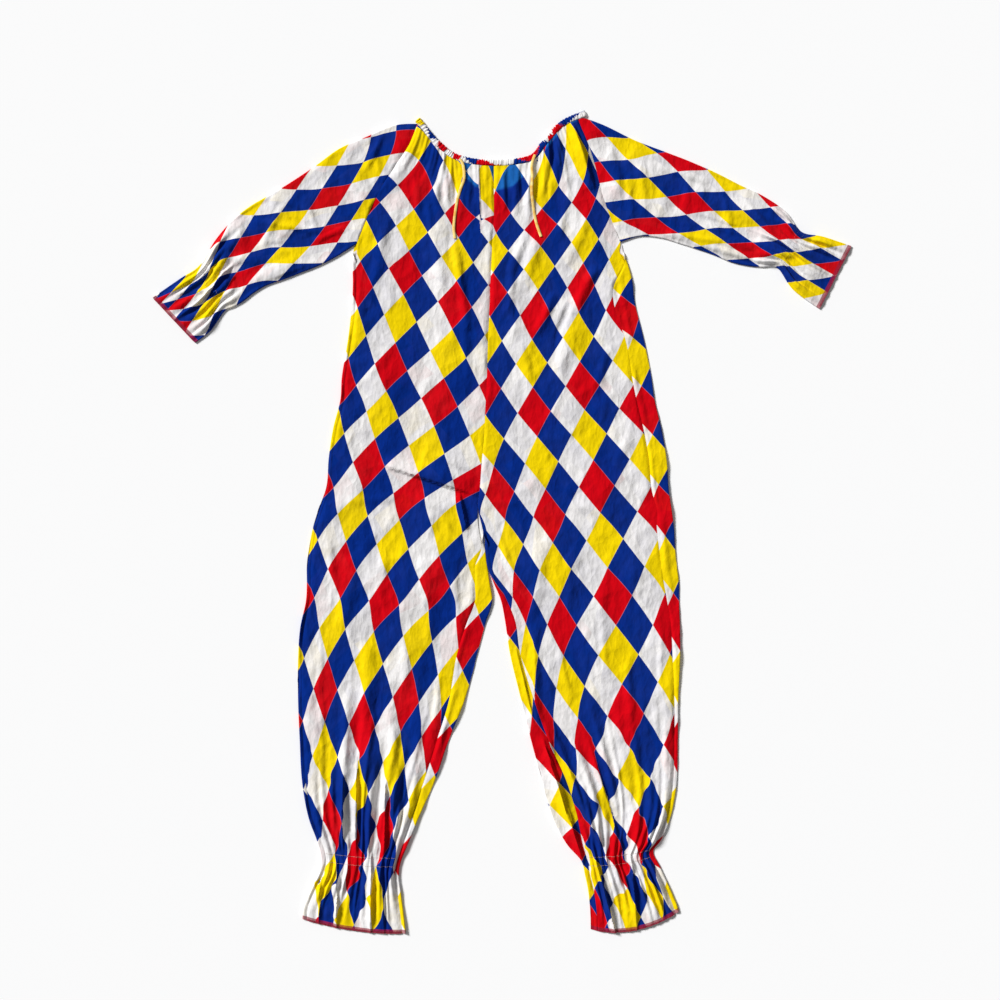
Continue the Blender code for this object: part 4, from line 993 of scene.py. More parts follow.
@dataclass
class FrontPanel(Panel):
    """Half a front: the cloth that lies on top, with its gathers, folds and creases."""

    rows: int = 420
    columns: int = 112
    body_waves: int = 8
    leg_waves: int = 11
    leg_station: int = 18
    neck_waves: int = 19
    neck_gathers: float = 1.5
    elastic_waves: int = 31
    elastic_gathers: float = 3.2
    seam_dip: float = 1.1

    def inset(self, wrap: np.ndarray) -> np.ndarray:
        """Return how far inside the outline the front ends, for wraps of these widths."""
        share = np.minimum(wrap / SHORTEST_WRAP, 1.0)
        return SEAM_GAP / 2 + wrap + share * (EDGE_REACH + SEAM_GAP / 2)

    def surface(
        self, places: np.ndarray, shares: np.ndarray
    ) -> tuple[np.ndarray, np.ndarray, np.ndarray]:
        """Return the upper face of the cloth.

        The height is the doubled edge's height, plus gathers in waves across the row,
        plus folds, creases and tucks, plus crumpling, less a dip towards each seam.

        Args:
            places: Station of each row.
            shares: Share of each column.

        Returns:
            Points by row and column, the plan points, and the print's shift at each.
        """
        table = self.read(places)
        start = self.inset(table[:, 4])[:, None]
        end = (row_width(table) - self.inset(table[:, 5]))[:, None]
        reach = start + (end - start) * uneven_share(shares)[None, :]
        plan = self.plan(places, table, reach)
        edge = np.minimum(reach - start, end - reach)

        # Gathers, which are lower at the casing and at the hem, and tight at the elastic.
        waves = np.where(places < self.leg_station, self.body_waves, self.leg_waves)[:, None]
        ruffle = table[:, 8] * (0.45 + 0.55 * soft_step(places, 0.0, 1.2))
        ruffle = ruffle * (1.0 - 0.6 * soft_step(places, 30.5, 33.0))
        share = shares[None, :]
        uneven = lattice_noise(9.0 * share + 0.0 * reach, places[:, None], 1.6, self.seed)
        gathers = gather_height(share, waves, ruffle[:, None]) * (0.25 + 1.1 * uneven)
        share = uneven_share(share)
        fine = self.neck_gathers * (1.0 - soft_step(places, 0.5, 2.6))[:, None]
        gathers = gathers + gather_height(share, self.neck_waves, fine)
        tight = self.elastic_gathers * np.exp(-((places - ELASTIC_STATION) / 0.7) ** 2)[:, None]
        gathers = gathers + gather_height(share, self.elastic_waves, tight) * uneven

        # Tucks flatten what lies past them, and the elastic pulls the print about.
        tucked, shift, left = tuck_lift(plan, FRONT_TUCKS[self.side])
        pull = np.exp(-(((places - ELASTIC_STATION) / 3.0) ** 2))[:, None]
        noise = lattice_noise(plan[..., 0], plan[..., 1], 19.0, self.seed)
        shift[..., 0] += pull * (noise - 0.5)
        relief = self.relief(plan, FRONT_CREASES) * left + tucked
        lift = (gathers + ridge_height(plan, FRONT_FOLDS[self.side])) * left
        lift = lift + relief * soft_step(edge, 0.0, 7.0)

        # The hem lies lower, and each seam is drawn in.
        hem = soft_step(places, 31.8, 33.0)[:, None]
        lift = lift * (1.0 - 0.6 * hem) - HEM_DROP * hem
        height = TOP_HEIGHT + lift - self.seam_dip * (1.0 - soft_step(edge, 0.0, 4.0))
        height = np.maximum(height, 2.0 - 0.6 * (1.0 - soft_step(edge, 0.0, 6.0)))
        return with_height(plan, height), plan, shift

    def seen(self, places: np.ndarray) -> tuple[np.ndarray, np.ndarray]:
        """Return where the front starts and ends in each row, as shares of its whole width."""
        table = self.read(places)
        width = row_width(table)
        return self.inset(table[:, 4]) / width, 1.0 - self.inset(table[:, 5]) / width

    def print_at(self, places: np.ndarray, shares: np.ndarray) -> tuple[np.ndarray, np.ndarray]:
        """Return the print's columns and rows at each row and column of a grid.

        Across a row the columns are a cubic of the share of the whole width and the rows a
        square, and their factors are read evenly down the panel.
        """
        rows = np.array(FRONT_PRINT[self.side])
        factors = [
            (row[0], *np.polyfit(np.linspace(start, end, 5), row[1:6], 3),
             *np.polyfit(np.linspace(start, end, 3), row[6:], 2))
            for row, start, end in zip(rows, *self.seen(rows[:, 0]))
        ]
        read = self.read_print(np.array(factors), places)
        start, end = self.seen(places)
        share = start[:, None] + (end - start)[:, None] * uneven_share(shares)[None, :]
        powers = share[..., None] ** np.array((3, 2, 1, 0))
        a = (powers * read[:, None, :4]).sum(axis=2)
        return a, (powers[..., 1:] * read[:, None, 4:]).sum(axis=2)

    def mesh(self, back: "BackPanel") -> ClothMesh:
        """Return the cloth's mesh, with its own print and the back's print under it."""
        places = self.even_places(self.rows)
        shares = np.linspace(0.0, 1.0, self.columns)
        points, plan, shift = self.surface(places, shares)
        a, b = self.print_at(places, shares)
        maps = {
            "print": lattice_map(a + shift[..., 0], b + shift[..., 1]),
            "under": back.print_flat(places, shares),
        }
        behind = np.interp(plan[..., 0], *np.array(NECK_BACK).T) - 0.5 * CASING_WIDTH
        sheer = soft_step(plan[..., 1] - behind, 0.0, 5.0)
        fields = {"hem": hem_distance(plan), "sheer": sheer}
        return shell(points, self.side is Side.LEFT, False, maps, fields)


@dataclass
class BackPanel(Panel):
    """Half a back: it rests on the surface, and its edges come up and lie doubled over."""

    rows: int = 300
    strip_columns: int = 13
    bend_columns: int = 7
    flat_columns: int = 48
    least_turn: float = 0.5
    least_width: float = 60.0
    edge_crumple: float = 0.8
    edge_lift: float = 0.3
    seam_dip: float = 0.9

    def edge_profile(
        self, width: np.ndarray, wrap: np.ndarray, turn: np.ndarray
    ) -> tuple[np.ndarray, np.ndarray, np.ndarray]:
        """Return the outer face of an edge, from its seam down round its bend.

        The middle of the wall runs straight for the wrap and then round an arc of fixed
        length pi times 1.1 mm, turned through the turn, and the face is half a wall out.

        Args:
            width: Width of each row.
            wrap: Width of the doubled strip.
            turn: Degrees that the edge is turned up.

        Returns:
            Distances from the row's other end, heights, and lengths of cloth from the seam.
        """
        wrap = np.maximum(wrap, SHORTEST_WRAP)[:, None]
        angle = np.radians(np.maximum(turn, self.least_turn))[:, None]
        arc = math.pi * BEND_RADIUS
        flat = width[:, None] - SEAM_GAP / 2 - wrap - arc
        turned = width[:, None] - EDGE_REACH
        start = flat + (turned - flat) * np.degrees(angle) / 180.0
        strip = np.linspace(1.0, 0.0, self.strip_columns)[None, :-1]
        bend = np.linspace(1.0, 0.0, self.bend_columns)[None, :]
        bend_x = start + arc * np.sin(angle * bend) / angle
        bend_z = WALL / 2 + arc * (1.0 - np.cos(angle * bend)) / angle
        end_x = bend_x[:, :1] + wrap * strip * np.cos(angle)
        end_z = bend_z[:, :1] + wrap * strip * np.sin(angle)
        facing = angle * np.concatenate((np.ones_like(strip), bend), axis=1)
        face_x = np.concatenate((end_x, bend_x), axis=1) + np.sin(facing) * WALL / 2
        face_z = np.concatenate((end_z, bend_z), axis=1) - np.cos(facing) * WALL / 2
        cloth = np.concatenate((wrap * (1.0 - strip), wrap + arc * (1.0 - bend)), axis=1)
        return face_x, face_z, cloth

    def mesh(self) -> ClothMesh:
        """Return the cloth's mesh: side strip, bend, flat part, bend and inner strip."""
        places = self.even_places(self.rows)
        table = self.read(places)
        width = row_width(table)
        side_x, side_z, side_cloth = self.edge_profile(width, table[:, 4], table[:, 6])
        mid_x, mid_z, mid_cloth = self.edge_profile(width, table[:, 5], table[:, 7])
        side_x = width[:, None] - side_x
        middle = np.linspace(0.0, 1.0, self.flat_columns + 2)[None, 1:-1]
        flat_x = side_x[:, -1:] + (mid_x[:, -1:] - side_x[:, -1:]) * middle
        reach = np.concatenate((side_x, flat_x, mid_x[:, ::-1]), axis=1)
        height = np.concatenate((side_z, np.zeros_like(flat_x), mid_z[:, ::-1]), axis=1)
        plan = self.plan(places, table, reach)
        seam = np.full(reach.shape, STRIP_WIDTH)
        seam[:, : side_cloth.shape[1]] = side_cloth
        seam[:, -mid_cloth.shape[1]:] = mid_cloth[:, ::-1]
        relief = crumple(plan, self.seed)
        above = soft_step(height, 1.5, TOP_HEIGHT)
        ridges = ridge_height(plan, BACK_CREASES[self.side])
        ridges = ridges + tuck_lift(plan, BACK_TUCKS[self.side])[0]
        lift = self.edge_crumple * relief + self.edge_lift + ridges
        height = height + above * lift * soft_step(seam, 0.0, 6.0)
        height = height - above * self.seam_dip * (1.0 - soft_step(seam, 0.0, 3.5))
        height = height + (1.0 - soft_step(height, 0.0, 0.6)) * laid_relief(relief)
        cloth = self.cloth_place(side_cloth, flat_x, mid_cloth)
        maps = {
            "print": self.print_across(places, cloth),
            "under": self.print_across(places, cloth[:, ::-1]),
        }
        fields = {"hem": hem_distance(plan), "sheer": np.zeros(height.shape)}
        return shell(with_height(plan, height), self.side is Side.RIGHT, False, maps, fields)

    def cloth_place(
        self, side_cloth: np.ndarray, flat_x: np.ndarray, mid_cloth: np.ndarray
    ) -> np.ndarray:
        """Return each column's place across the cloth, in millimetres from the side seam."""
        flat = side_cloth[:, -1:] + (flat_x - flat_x[:, :1]) + 2.0
        inner = mid_cloth[:, ::-1]
        last = flat[:, -1:] + 2.0
        return np.concatenate((side_cloth, flat, last + inner[:, :1] - inner), axis=1)

    def print_across(self, places: np.ndarray, cloth: np.ndarray) -> np.ndarray:
        """Return the print steps across the cloth.

        Near each seam the columns are true to size, and between the two they run evenly.

        Args:
            places: Station of each row.
            cloth: Distance of each column from the side seam along the cloth.

        Returns:
            The diamonds' steps at each grid point.
        """
        first_a, mid_a, matched, rows = BACK_PRINT[self.side]
        total = np.maximum(cloth.max(axis=1), self.least_width)
        ends = self.read_print(np.array(rows), places)
        side_a = np.full((len(places), 1), first_a)
        if matched:
            seam = self.read_print(np.array(FRONT_PRINT[self.side])[:, (0, 1, 6)], places)
            side_a = side_a + seam[:, :1]
            ends[:, 0] = seam[:, 1]
        way = 1.0 if mid_a > first_a else -1.0
        strip = STRIP_WIDTH / PRINT_WIDTH
        near = np.minimum(cloth, STRIP_WIDTH) / PRINT_WIDTH
        far = np.minimum(total[:, None] - cloth, STRIP_WIDTH) / PRINT_WIDTH
        middle = np.maximum(total - 2 * STRIP_WIDTH, 1.0)[:, None]
        inside = np.clip((cloth - STRIP_WIDTH) / middle, 0.0, 1.0)
        whole = np.abs(mid_a - side_a) - 2 * STRIP_WIDTH / PRINT_WIDTH
        a = side_a + way * (near + inside * whole + (strip - far))
        b = ends[:, :1] + (ends[:, 1:] - ends[:, :1]) * cloth / total[:, None]
        return lattice_map(a, b)

    def print_flat(self, places: np.ndarray, shares: np.ndarray) -> np.ndarray:
        """Return the print steps of the back where it lies under a front's grid."""
        table = self.read(places)
        cloth = table[:, 4:5] + 4.0 + row_width(table)[:, None] * shares[None, :]
        return self.print_across(places, cloth)


@dataclass
class Sleeve(Cloth):
    """A raglan sleeve: a tube from the raglan seam to the cuff, flattened with a frill."""

    front: FrontPanel
    back: BackPanel
    rows: int = 132
    top_columns: int = 104
    bend_columns: int = 7
    under_columns: int = 60
    arm_waves: int = 5
    arm_gathers: float = 0.35
    cuff_waves: int = 7
    elastic_waves: int = 19
    elastic_gathers: float = 3.4
    seam_dip: float = 1.1
    last: float = field(init=False)
    elastic: float = field(init=False)
    top_bulge: np.ndarray = field(init=False)
    under_bulge: np.ndarray = field(init=False)

    def __post_init__(self) -> None:
        """Work out the curve of the raglan seam against the first row's straight lines."""
        self.table = np.array(SLEEVE[self.side], dtype=float)
        self.last = len(self.table) - 1.0
        self.elastic = self.last - 2.0
        shift = np.array((self.side.outward * RAGLAN_GAP, RAGLAN_GAP * 0.5))
        places = np.linspace(0.0, YOKE_GAPS, 11)
        top = self.front.read(places)[:, 0:2] + shift
        shoulder = casing_edge(NECK_BACK, np.array(SHOULDER_SEAMS[self.side]))[None, :]
        under = np.concatenate((shoulder, self.back.read(np.arange(YOKE_GAPS + 1))[:, 0:2]))
        first = self.table[:1]
        self.top_bulge = top - self.chord(first, uneven_share(np.linspace(0, 1, 11)))[0]
        self.under_bulge = under + shift - self.chord(first, np.linspace(0, 1, 7))[0]

    def chord(self, table: np.ndarray, shares: np.ndarray) -> np.ndarray:
        """Return straight points across rows, from the upper bend's middle to the lower's."""
        upper = table[:, None, 0:2]
        lower = table[:, None, 2:4]
        along = unit(lower - upper)
        start = upper + along * EDGE_REACH
        end = lower - along * EDGE_REACH
        return start + (end - start) * shares[None, :, None]

    def top(self, places: np.ndarray, shares: np.ndarray) -> np.ndarray:
        """Return the upper face of the sleeve.

        The height is that of a doubled edge plus the cuff's gathers, folds, creases and
        crumpling, which all fade towards the two bends and the raglan seam.

        Args:
            places: Place of each row.
            shares: Share of each column.

        Returns:
            Points by row and column.
        """
        table = self.read(places)
        plan = self.chord(table, uneven_share(shares))
        plan = plan + self.fading(places) * smooth_read(self.top_bulge, shares * 10)[None]
        share = shares[None, :]
        ruffle = np.maximum(table[:, 4:5], 0.0)
        ruffle = ruffle * (1.0 - 0.55 * soft_step(places, self.last - 1.4, self.last))[:, None]
        uneven = lattice_noise(7.0 * share + 0.0 * ruffle, places[:, None], 1.3, self.seed)
        cuffed = soft_step(places, self.last - 4.0, self.last - 3.0)[:, None]
        gathers = gather_height(share, self.cuff_waves, ruffle) * cuffed * (0.5 + 1.6 * uneven)
        loose = gather_height(share, self.arm_waves, ruffle)
        gathers = gathers + self.arm_gathers * loose * (1.0 - cuffed)
        tight = self.elastic_gathers * np.exp(-((places[:, None] - self.elastic) / 0.45) ** 2)
        gathers = gathers + gather_height(uneven_share(share), self.elastic_waves, tight) * uneven
        lift = gathers + ridge_height(plan, SLEEVE_FOLDS[self.side])
        lift = lift + self.relief(plan, SLEEVE_CREASES)
        from_seam = np.minimum(places / 0.22, 1.0)[:, None]
        edge = soft_step(np.minimum(share, 1.0 - share), 0.0, 0.035)
        hem = soft_step(places, self.last - 1.0, self.last)[:, None]
        lift = lift * (1.0 - 0.7 * hem) * edge * (0.3 + 0.7 * from_seam)
        height = TOP_HEIGHT + lift - HEM_DROP * hem - self.seam_dip * (1.0 - from_seam) ** 2
        return with_height(plan, np.maximum(height, 1.5 + 0.5 * edge))

    def mesh(self) -> ClothMesh:
        """Return the cloth's mesh: under face, upper bend, upper face, lower bend."""
        places = self.even_places(self.rows)
        table = self.read(places)
        top = self.top(places, np.linspace(0.0, 1.0, self.top_columns))
        shares = np.linspace(1.0, 0.0, self.under_columns)
        under = self.chord(table, shares)
        under = under + self.fading(places) * smooth_read(self.under_bulge, shares * 6)[None]
        rise = laid_relief(crumple(under, self.seed + 5))
        rise = rise * soft_step(np.minimum(shares, 1 - shares), 0.0, 0.06)[None, :]
        under = with_height(under, rise)
        along = unit(table[:, 2:4] - table[:, 0:2])
        upper_bend = self.bend(under[:, -1, 0:2], top[:, 0, 0:2], -along)
        lower_bend = self.bend(under[:, 0, 0:2], top[:, -1, 0:2], along)[:, ::-1]
        points = np.concatenate((under, upper_bend, top, lower_bend), axis=1)
        steps = self.print_rings(places, points)
        maps = {"print": steps, "under": steps[:, ::-1]}
        fields = {"hem": hem_distance(points), "sheer": np.zeros(points.shape[:2])}
        return shell(points, self.side is Side.RIGHT, True, maps, fields)

    def bend(self, low: np.ndarray, high: np.ndarray, away: np.ndarray) -> np.ndarray:
        """Return points round a fold, a half circle from the under face to the upper one.

        Args:
            low: Plan points where the under face ends.
            high: Plan points where the upper face starts.
            away: Unit vectors out of the sleeve.

        Returns:
            Points by row and by angle, without the two ends.
        """
        angle = np.linspace(0.0, np.pi, self.bend_columns + 2)[None, 1:-1, None]
        plan = low[:, None] + (high - low)[:, None] * (angle / np.pi)
        plan = plan + away[:, None] * EDGE_REACH * np.sin(angle)
        height = np.broadcast_to(EDGE_REACH - EDGE_REACH * np.cos(angle), (*plan.shape[:2], 1))
        return np.concatenate((plan, height), axis=2)

    def print_rings(self, places: np.ndarray, points: np.ndarray) -> np.ndarray:
        """Return the print steps round each ring, with the closing column.

        The upper face reads the tables. The print runs on over the upper fold with the
        distance along the cloth, and the lower fold's seam is where it starts again.

        Args:
            places: Place of each row.
            points: The grid of points.

        Returns:
            The diamonds' steps, at one more column than the grid has.
        """
        rows = np.array(SLEEVE_PRINT[self.side])
        blur = np.full(len(places), SLEEVE_BLUR)
        read = blurred_read(np.arange(len(rows)), rows, places, blur)
        weights = share_weights(5, uneven_share(np.linspace(0.0, 1.0, self.top_columns))).T
        top_a = read[:, :5] @ weights
        top_b = read[:, 5:] @ weights
        before = self.under_columns + self.bend_columns
        loop = np.concatenate((points, points[:, :1]), axis=1)
        gaps = np.linalg.norm(np.diff(loop[..., :2], axis=1), axis=2)
        steps = np.cumsum(gaps[:, :before][:, ::-1], axis=1)[:, ::-1] / PRINT_WIDTH
        slope = (top_b[:, -1:] - top_b[:, :1]) * np.clip(steps / steps[:, :1], 0.0, 1.0)
        rest = np.cumsum(gaps[:, -self.bend_columns - 1:], axis=1) / PRINT_WIDTH
        last_b = np.repeat(top_b[:, -1:], rest.shape[1], axis=1)
        a = np.concatenate((top_a[:, :1] + steps, top_a, top_a[:, -1:] - rest), axis=1)
        b = np.concatenate((top_b[:, :1] + slope, top_b, last_b), axis=1)
        return lattice_map(a, b)


@dataclass
class NeckCasing:
    """The channel round the neck, gathered on its drawstring, turned under at the shoulders."""

    front_height: float = 3.3
    back_height: float = 0.9
    front_half: float = 1.1
    back_half: float = 0.9
    front_rings: int = 460
    back_rings: int = 320
    turn_rings: int = 8
    section: int = 14
    pucker: float = 2.2
    puckers: int = 74
    scallop: float = 1.3
    squareness: float = 0.8
    print_wobble: float = 0.2
    print_scrunch: float = 0.3
    seed: int = 81

    def stretch(
        self, line: Rows, places: np.ndarray, height: float
    ) -> tuple[np.ndarray, np.ndarray]:
        """Return middle points and vectors to the body along one stretch of the neck."""
        level = np.ones(len(places))
        middle = with_height(smooth_read(line, places), height * level)
        return middle, with_height(body_side(line, places), 0.0 * level)

    def turn(self, place: float, rising: bool) -> tuple[np.ndarray, np.ndarray, np.ndarray]:
        """Return middles, body vectors and outward vectors where the band turns over.

        The outward vector runs round a half circle from up, past the shoulder, to down,
        and the band's middle runs round with it.

        Args:
            place: Place on the front line.
            rising: Whether the band comes back up.

        Returns:
            The three arrays.
        """
        angle = np.linspace(0.0, np.pi, self.turn_rings + 2)[1:-1, None]
        if rising:
            angle = angle[::-1]
        level = 0.5 * (self.front_height + self.back_height)
        middle, side = self.stretch(NECK_FRONT, np.full(self.turn_rings, place), level)
        along = np.column_stack((-side[:, 1], side[:, 0], side[:, 2]))
        if rising:
            along = -along
        outward = along * np.sin(angle) + UP * np.cos(angle)
        radius = 0.5 * (self.front_height - self.back_height)
        return middle + outward * radius, side, outward

    def mesh(self) -> ClothMesh:
        """Return the band: an oval section along the loop, puckered across and scalloped."""
        last = len(NECK_FRONT) - 1.0
        last_back = len(NECK_BACK) - 1.0
        turned = self.turn_rings
        places = np.linspace(0.0, last, self.front_rings)
        back_places = np.linspace(last_back, 0.0, self.back_rings)
        ups = np.tile(UP, (self.front_rings, 1))
        downs = np.tile(-UP, (self.back_rings, 1))
        parts = (
            (*self.stretch(NECK_FRONT, places, self.front_height), ups),
            self.turn(last, False),
            (*self.stretch(NECK_BACK, back_places, self.back_height), downs),
            self.turn(0.0, True),
        )
        middle, side, outward = (np.concatenate(column) for column in zip(*parts))
        on_front = np.concatenate((
            np.ones(self.front_rings), np.linspace(1, 0, turned), np.zeros(self.back_rings),
            np.linspace(0, 1, turned),
        ))
        place = np.concatenate(
            (places, np.full(turned, last), back_places * last / last_back, np.zeros(turned))
        )
        wave = self.puckers * place / last
        wobble = lattice_noise(wave * 8.0, wave * 0.0 + 3.0, 9.0, self.seed)
        angle = np.linspace(0.0, 2 * np.pi, self.section, endpoint=False)[None, :]
        round_cos, round_sin = (
            np.sign(value) * np.abs(value) ** self.squareness
            for value in (np.cos(angle), np.sin(angle))
        )
        slant = 0.10 * np.cos(angle)
        fold = 0.5 - 0.5 * np.cos(2 * np.pi * (wave[:, None] + slant + 1.4 * wobble[:, None]))
        lift = self.pucker * fold * (0.25 + 0.75 * wobble[:, None])
        outer = np.clip(round_sin, 0.0, 1.0) * on_front[:, None] * lift
        inner = np.clip(-round_sin, 0.0, 1.0) * (1.0 - on_front[:, None]) * lift * 0.5
        half = self.back_half + (self.front_half - self.back_half) * on_front[:, None]
        reach = 0.5 * CASING_WIDTH + self.scallop * (fold - 0.5) * (np.cos(angle) < 0)
        points = (
            middle[:, None, :]
            + side[:, None, :] * (reach * round_cos)[..., None]
            + outward[:, None, :] * (half * round_sin + outer - inner)[..., None]
        )
        place = np.append(place, place[0])
        wobble = self.print_wobble * np.cos(angle)
        scrunch = self.print_scrunch * (np.concatenate((fold, fold[:1])) - 0.5)
        a = np.interp(place, *np.array(CASING_PRINT).T)[:, None] + wobble + scrunch
        b = np.where(place < 0.4, 2.25, 1.25)[:, None] + wobble
        count, sides = points.shape[:2]
        steps = lattice_map(a, b).reshape(-1, 2)
        return ClothMesh(
            points=points.reshape(-1, 3),
            faces=[ring_quads(count, sides, count)],
            corners=[ring_quads(count, sides, count + 1)],
            maps={"print": steps, "under": steps},
            fields={"hem": np.full(count * sides, HEM_FAR), "sheer": np.zeros(count * sides)},
        )


@dataclass
class OverlockHem:
    """Overlocking over a raw edge: a zigzag of thread, and a thread along the edge."""

    edge: np.ndarray
    inner: np.ndarray
    rise: float = 0.35
    pitch: float = 2.6
    points_each: int = 6
    radius: float = 0.42
    lean: float = 0.5

    def bodies(self) -> list[ClothMesh]:
        """Return the zigzag and the thread that covers the raw edge itself.

        Along the hem the thread swings between the edge and the inner line as
        0.5 - 0.5 cos, leaning forward on the way in.
        """
        length = arc_length(self.edge)
        turns = max(int(length[-1] / self.pitch), 4)
        phase = np.linspace(0.0, turns, turns * self.points_each + 1)
        swing = 0.5 - 0.5 * np.cos(2 * np.pi * phase)
        along = np.clip((phase + self.lean * swing) * self.pitch, 0.0, length[-1])
        edge = read_along(self.edge, length, along)
        inner = read_along(self.inner, length, along)
        zigzag = edge + (inner - edge) * swing[:, None] + self.rise * UP
        rim = 1.3 * self.radius
        return [
            tube(zigzag, self.radius, self.radius, 5),
            tube(self.edge + 0.4 * (self.rise * UP), rim, rim, 6),
        ]


@dataclass
class StitchRow:
    """A row of running stitches that holds elastic under the cloth."""

    line: np.ndarray
    pitch: float = 3.0
    points_each: int = 6
    radius: float = 0.24
    rise: float = 0.3

    def mesh(self) -> ClothMesh:
        """Return the thread, which comes over the cloth and dips under it as a sine."""
        length = arc_length(self.line)
        count = max(int(length[-1] / self.pitch), 4) * self.points_each
        along = np.linspace(0.0, length[-1], count)
        path = read_along(self.line, length, along)
        path[:, 2] += self.rise * (0.35 + np.sin(2 * np.pi * along / self.pitch))
        return tube(path, self.radius, self.radius, 5)


def join_meshes(parts: list[ClothMesh]) -> ClothMesh:
    """Return several loose bodies as one piece."""
    faces = []
    count = 0
    for part in parts:
        faces += [block + count for block in part.faces]
        count += len(part.points)
    return ClothMesh(points=np.concatenate([part.points for part in parts]), faces=faces)


@dataclass
class Tie:
    """A free end of the drawstring: a narrow folded tape that lies on the cloth."""

    side: Side
    width: float = 5.0
    thick: float = 1.7
    sides: int = 12
    count: int = 44
    footing: float = 2.2

    def path(self, cloths: list[bpy.types.Object]) -> np.ndarray:
        """Return the tie's middle line, laid on the highest cloth under its width.

        Args:
            cloths: Pieces that it lies on.

        Returns:
            Points in millimetres, evenly spaced along a smooth route.
        """
        graph = bpy.context.evaluated_depsgraph_get()
        trees = [BVHTree.FromObject(cloth, graph) for cloth in cloths]
        route = TIE_ROUTE[self.side]
        fine = smooth_read(route, np.linspace(0.0, len(route) - 1.0, 400))
        length = arc_length(fine)
        plan = read_along(fine, length, np.linspace(0.0, length[-1], self.count))
        heights = np.array([self.highest(trees, x, y) for x, y in plan])
        spread = np.array([heights[max(k - 1, 0): k + 2].max() for k in range(len(heights))])
        smooth = np.convolve(np.pad(spread, 2, mode="edge"), np.full(5, 0.2), mode="valid")
        return with_height(plan, np.maximum(smooth, heights) + 0.5 * self.thick + 0.1)

    def highest(self, trees: list[BVHTree], x: float, y: float) -> float:
        """Return the height of the highest cloth round a plan point, in millimetres."""
        found = 0.0
        for shift in (-self.footing, 0.0, self.footing):
            start = Vector(((x + shift - ORIGIN[0]) * MM, (y - ORIGIN[1]) * MM, 1.0))
            for tree in trees:
                hit = tree.ray_cast(start, Vector((0.0, 0.0, -1.0)))[0]
                if hit is not None:
                    found = max(found, hit.z / MM)
        return found

    def dress(self, cloths: list[bpy.types.Object], tape: bpy.types.Material) -> None:
        name = "tie_" + self.side.value
        path = self.path(cloths)
        along = arc_length(path)
        mesh = tube(path, 0.5 * self.width, 0.5 * self.thick, self.sides)
        mesh.fields["along"] = np.repeat(along, self.sides)
        piece = mesh.make(name + "_tape", tape, "yellow_cord")
        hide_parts(name)
        LOG.info("%s: %d points on its route, %.0f mm long", name, len(path), along[-1])


@dataclass
class Wiring:
    """A new material's nodes, and the links between them."""

    name: str
    material: bpy.types.Material = field(init=False)

    def __post_init__(self) -> None:
        """Make the material."""
        self.material = bpy.data.materials.new(self.name)
        self.material.use_nodes = True

    def fill(self, node: bpy.types.Node, inputs: dict[int | str, object]) -> None:
        """Link a node's inputs to sockets, or give them fixed values."""
        for key, value in inputs.items():
            socket = node.inputs[key]
            if isinstance(value, Socket):
                self.material.node_tree.links.new(value, socket)
            elif socket.type == "RGBA":
                socket.default_value = (*value, 1.0)
            else:
                socket.default_value = value

    def node(
        self, kind: str, inputs: dict[int | str, object], output: int | str = 0,
        **settings: object,
    ) -> Socket:
        """Add a shader node.

        Args:
            kind: Its type.
            inputs: What goes into it.
            output: Which of its outputs is wanted.
            **settings: Its other settings.

        Returns:
            The output.
        """
        node = self.material.node_tree.nodes.new("ShaderNode" + kind)
        for key, value in settings.items():
            setattr(node, key, value)
        self.fill(node, inputs)
        return node.outputs[output]

    def math(self, operation: str, *values: object) -> Socket:
        """Return the result of a math node."""
        return self.node("Math", dict(enumerate(values)), operation=operation)

    def mix(self, share: object, first: object, second: object) -> Socket:
        """Return a mix of two colours."""
        return self.node("Mix", {"Factor": share, 6: first, 7: second}, 2, data_type="RGBA")

    def chart(self, name: str) -> tuple[Socket, Socket]:
        """Return the two numbers of a UV map."""
        steps = self.node("UVMap", {}, uv_map=name)
        return tuple(self.node("SeparateXYZ", {0: steps}, axis) for axis in (0, 1))

    def measure(self, name: str) -> Socket:
        """Return a number that the mesh has at each point."""
        return self.node("Attribute", {}, "Fac", attribute_name=name)

    def place(self) -> Socket:
        """Return the place on the object, in metres."""
        return self.node("TexCoord", {}, "Object")

    def noise(self, vector: Socket, scale: float, detail: float) -> Socket:
        """Return a noise texture's value."""
        return self.node("TexNoise", {"Vector": vector, "Scale": scale, "Detail": detail})

    def facets(self, place: Socket, scale: float) -> Socket:
        """Return the distance to the nearest cell's middle, in a field bent by noise."""
        drawn = self.node("VectorMath", {0: place, 1: FACET_STRETCH}, operation="MULTIPLY")
        noise = self.node("TexNoise", {"Vector": drawn, "Scale": 0.5 * scale}, "Color")
        bend = (FACET_BEND / scale,) * 3
        bent = self.node("VectorMath", {0: noise, 1: bend, 2: drawn}, operation="MULTIPLY_ADD")
        return self.node("TexVoronoi", {"Vector": bent, "Scale": scale}, "Distance")

    def ramp(self, value: Socket, low: float, high: float) -> Socket:
        """Return how far a value is from low to high, from 0 to 1."""
        return self.node("MapRange", {"Value": value, "From Min": low, "From Max": high})

    def bump(
        self, height: Socket, strength: float, distance: float, normal: Socket | None = None
    ) -> Socket:
        """Return a normal bent by a height."""
        inputs = {"Strength": strength, "Distance": distance, "Height": height}
        return self.node("Bump", inputs if normal is None else {**inputs, "Normal": normal})

    def finish(self, inputs: dict[str, object]) -> bpy.types.Material:
        """Fill the Principled shader's inputs, and return the material."""
        self.fill(self.material.node_tree.nodes["Principled BSDF"], inputs)
        return self.material


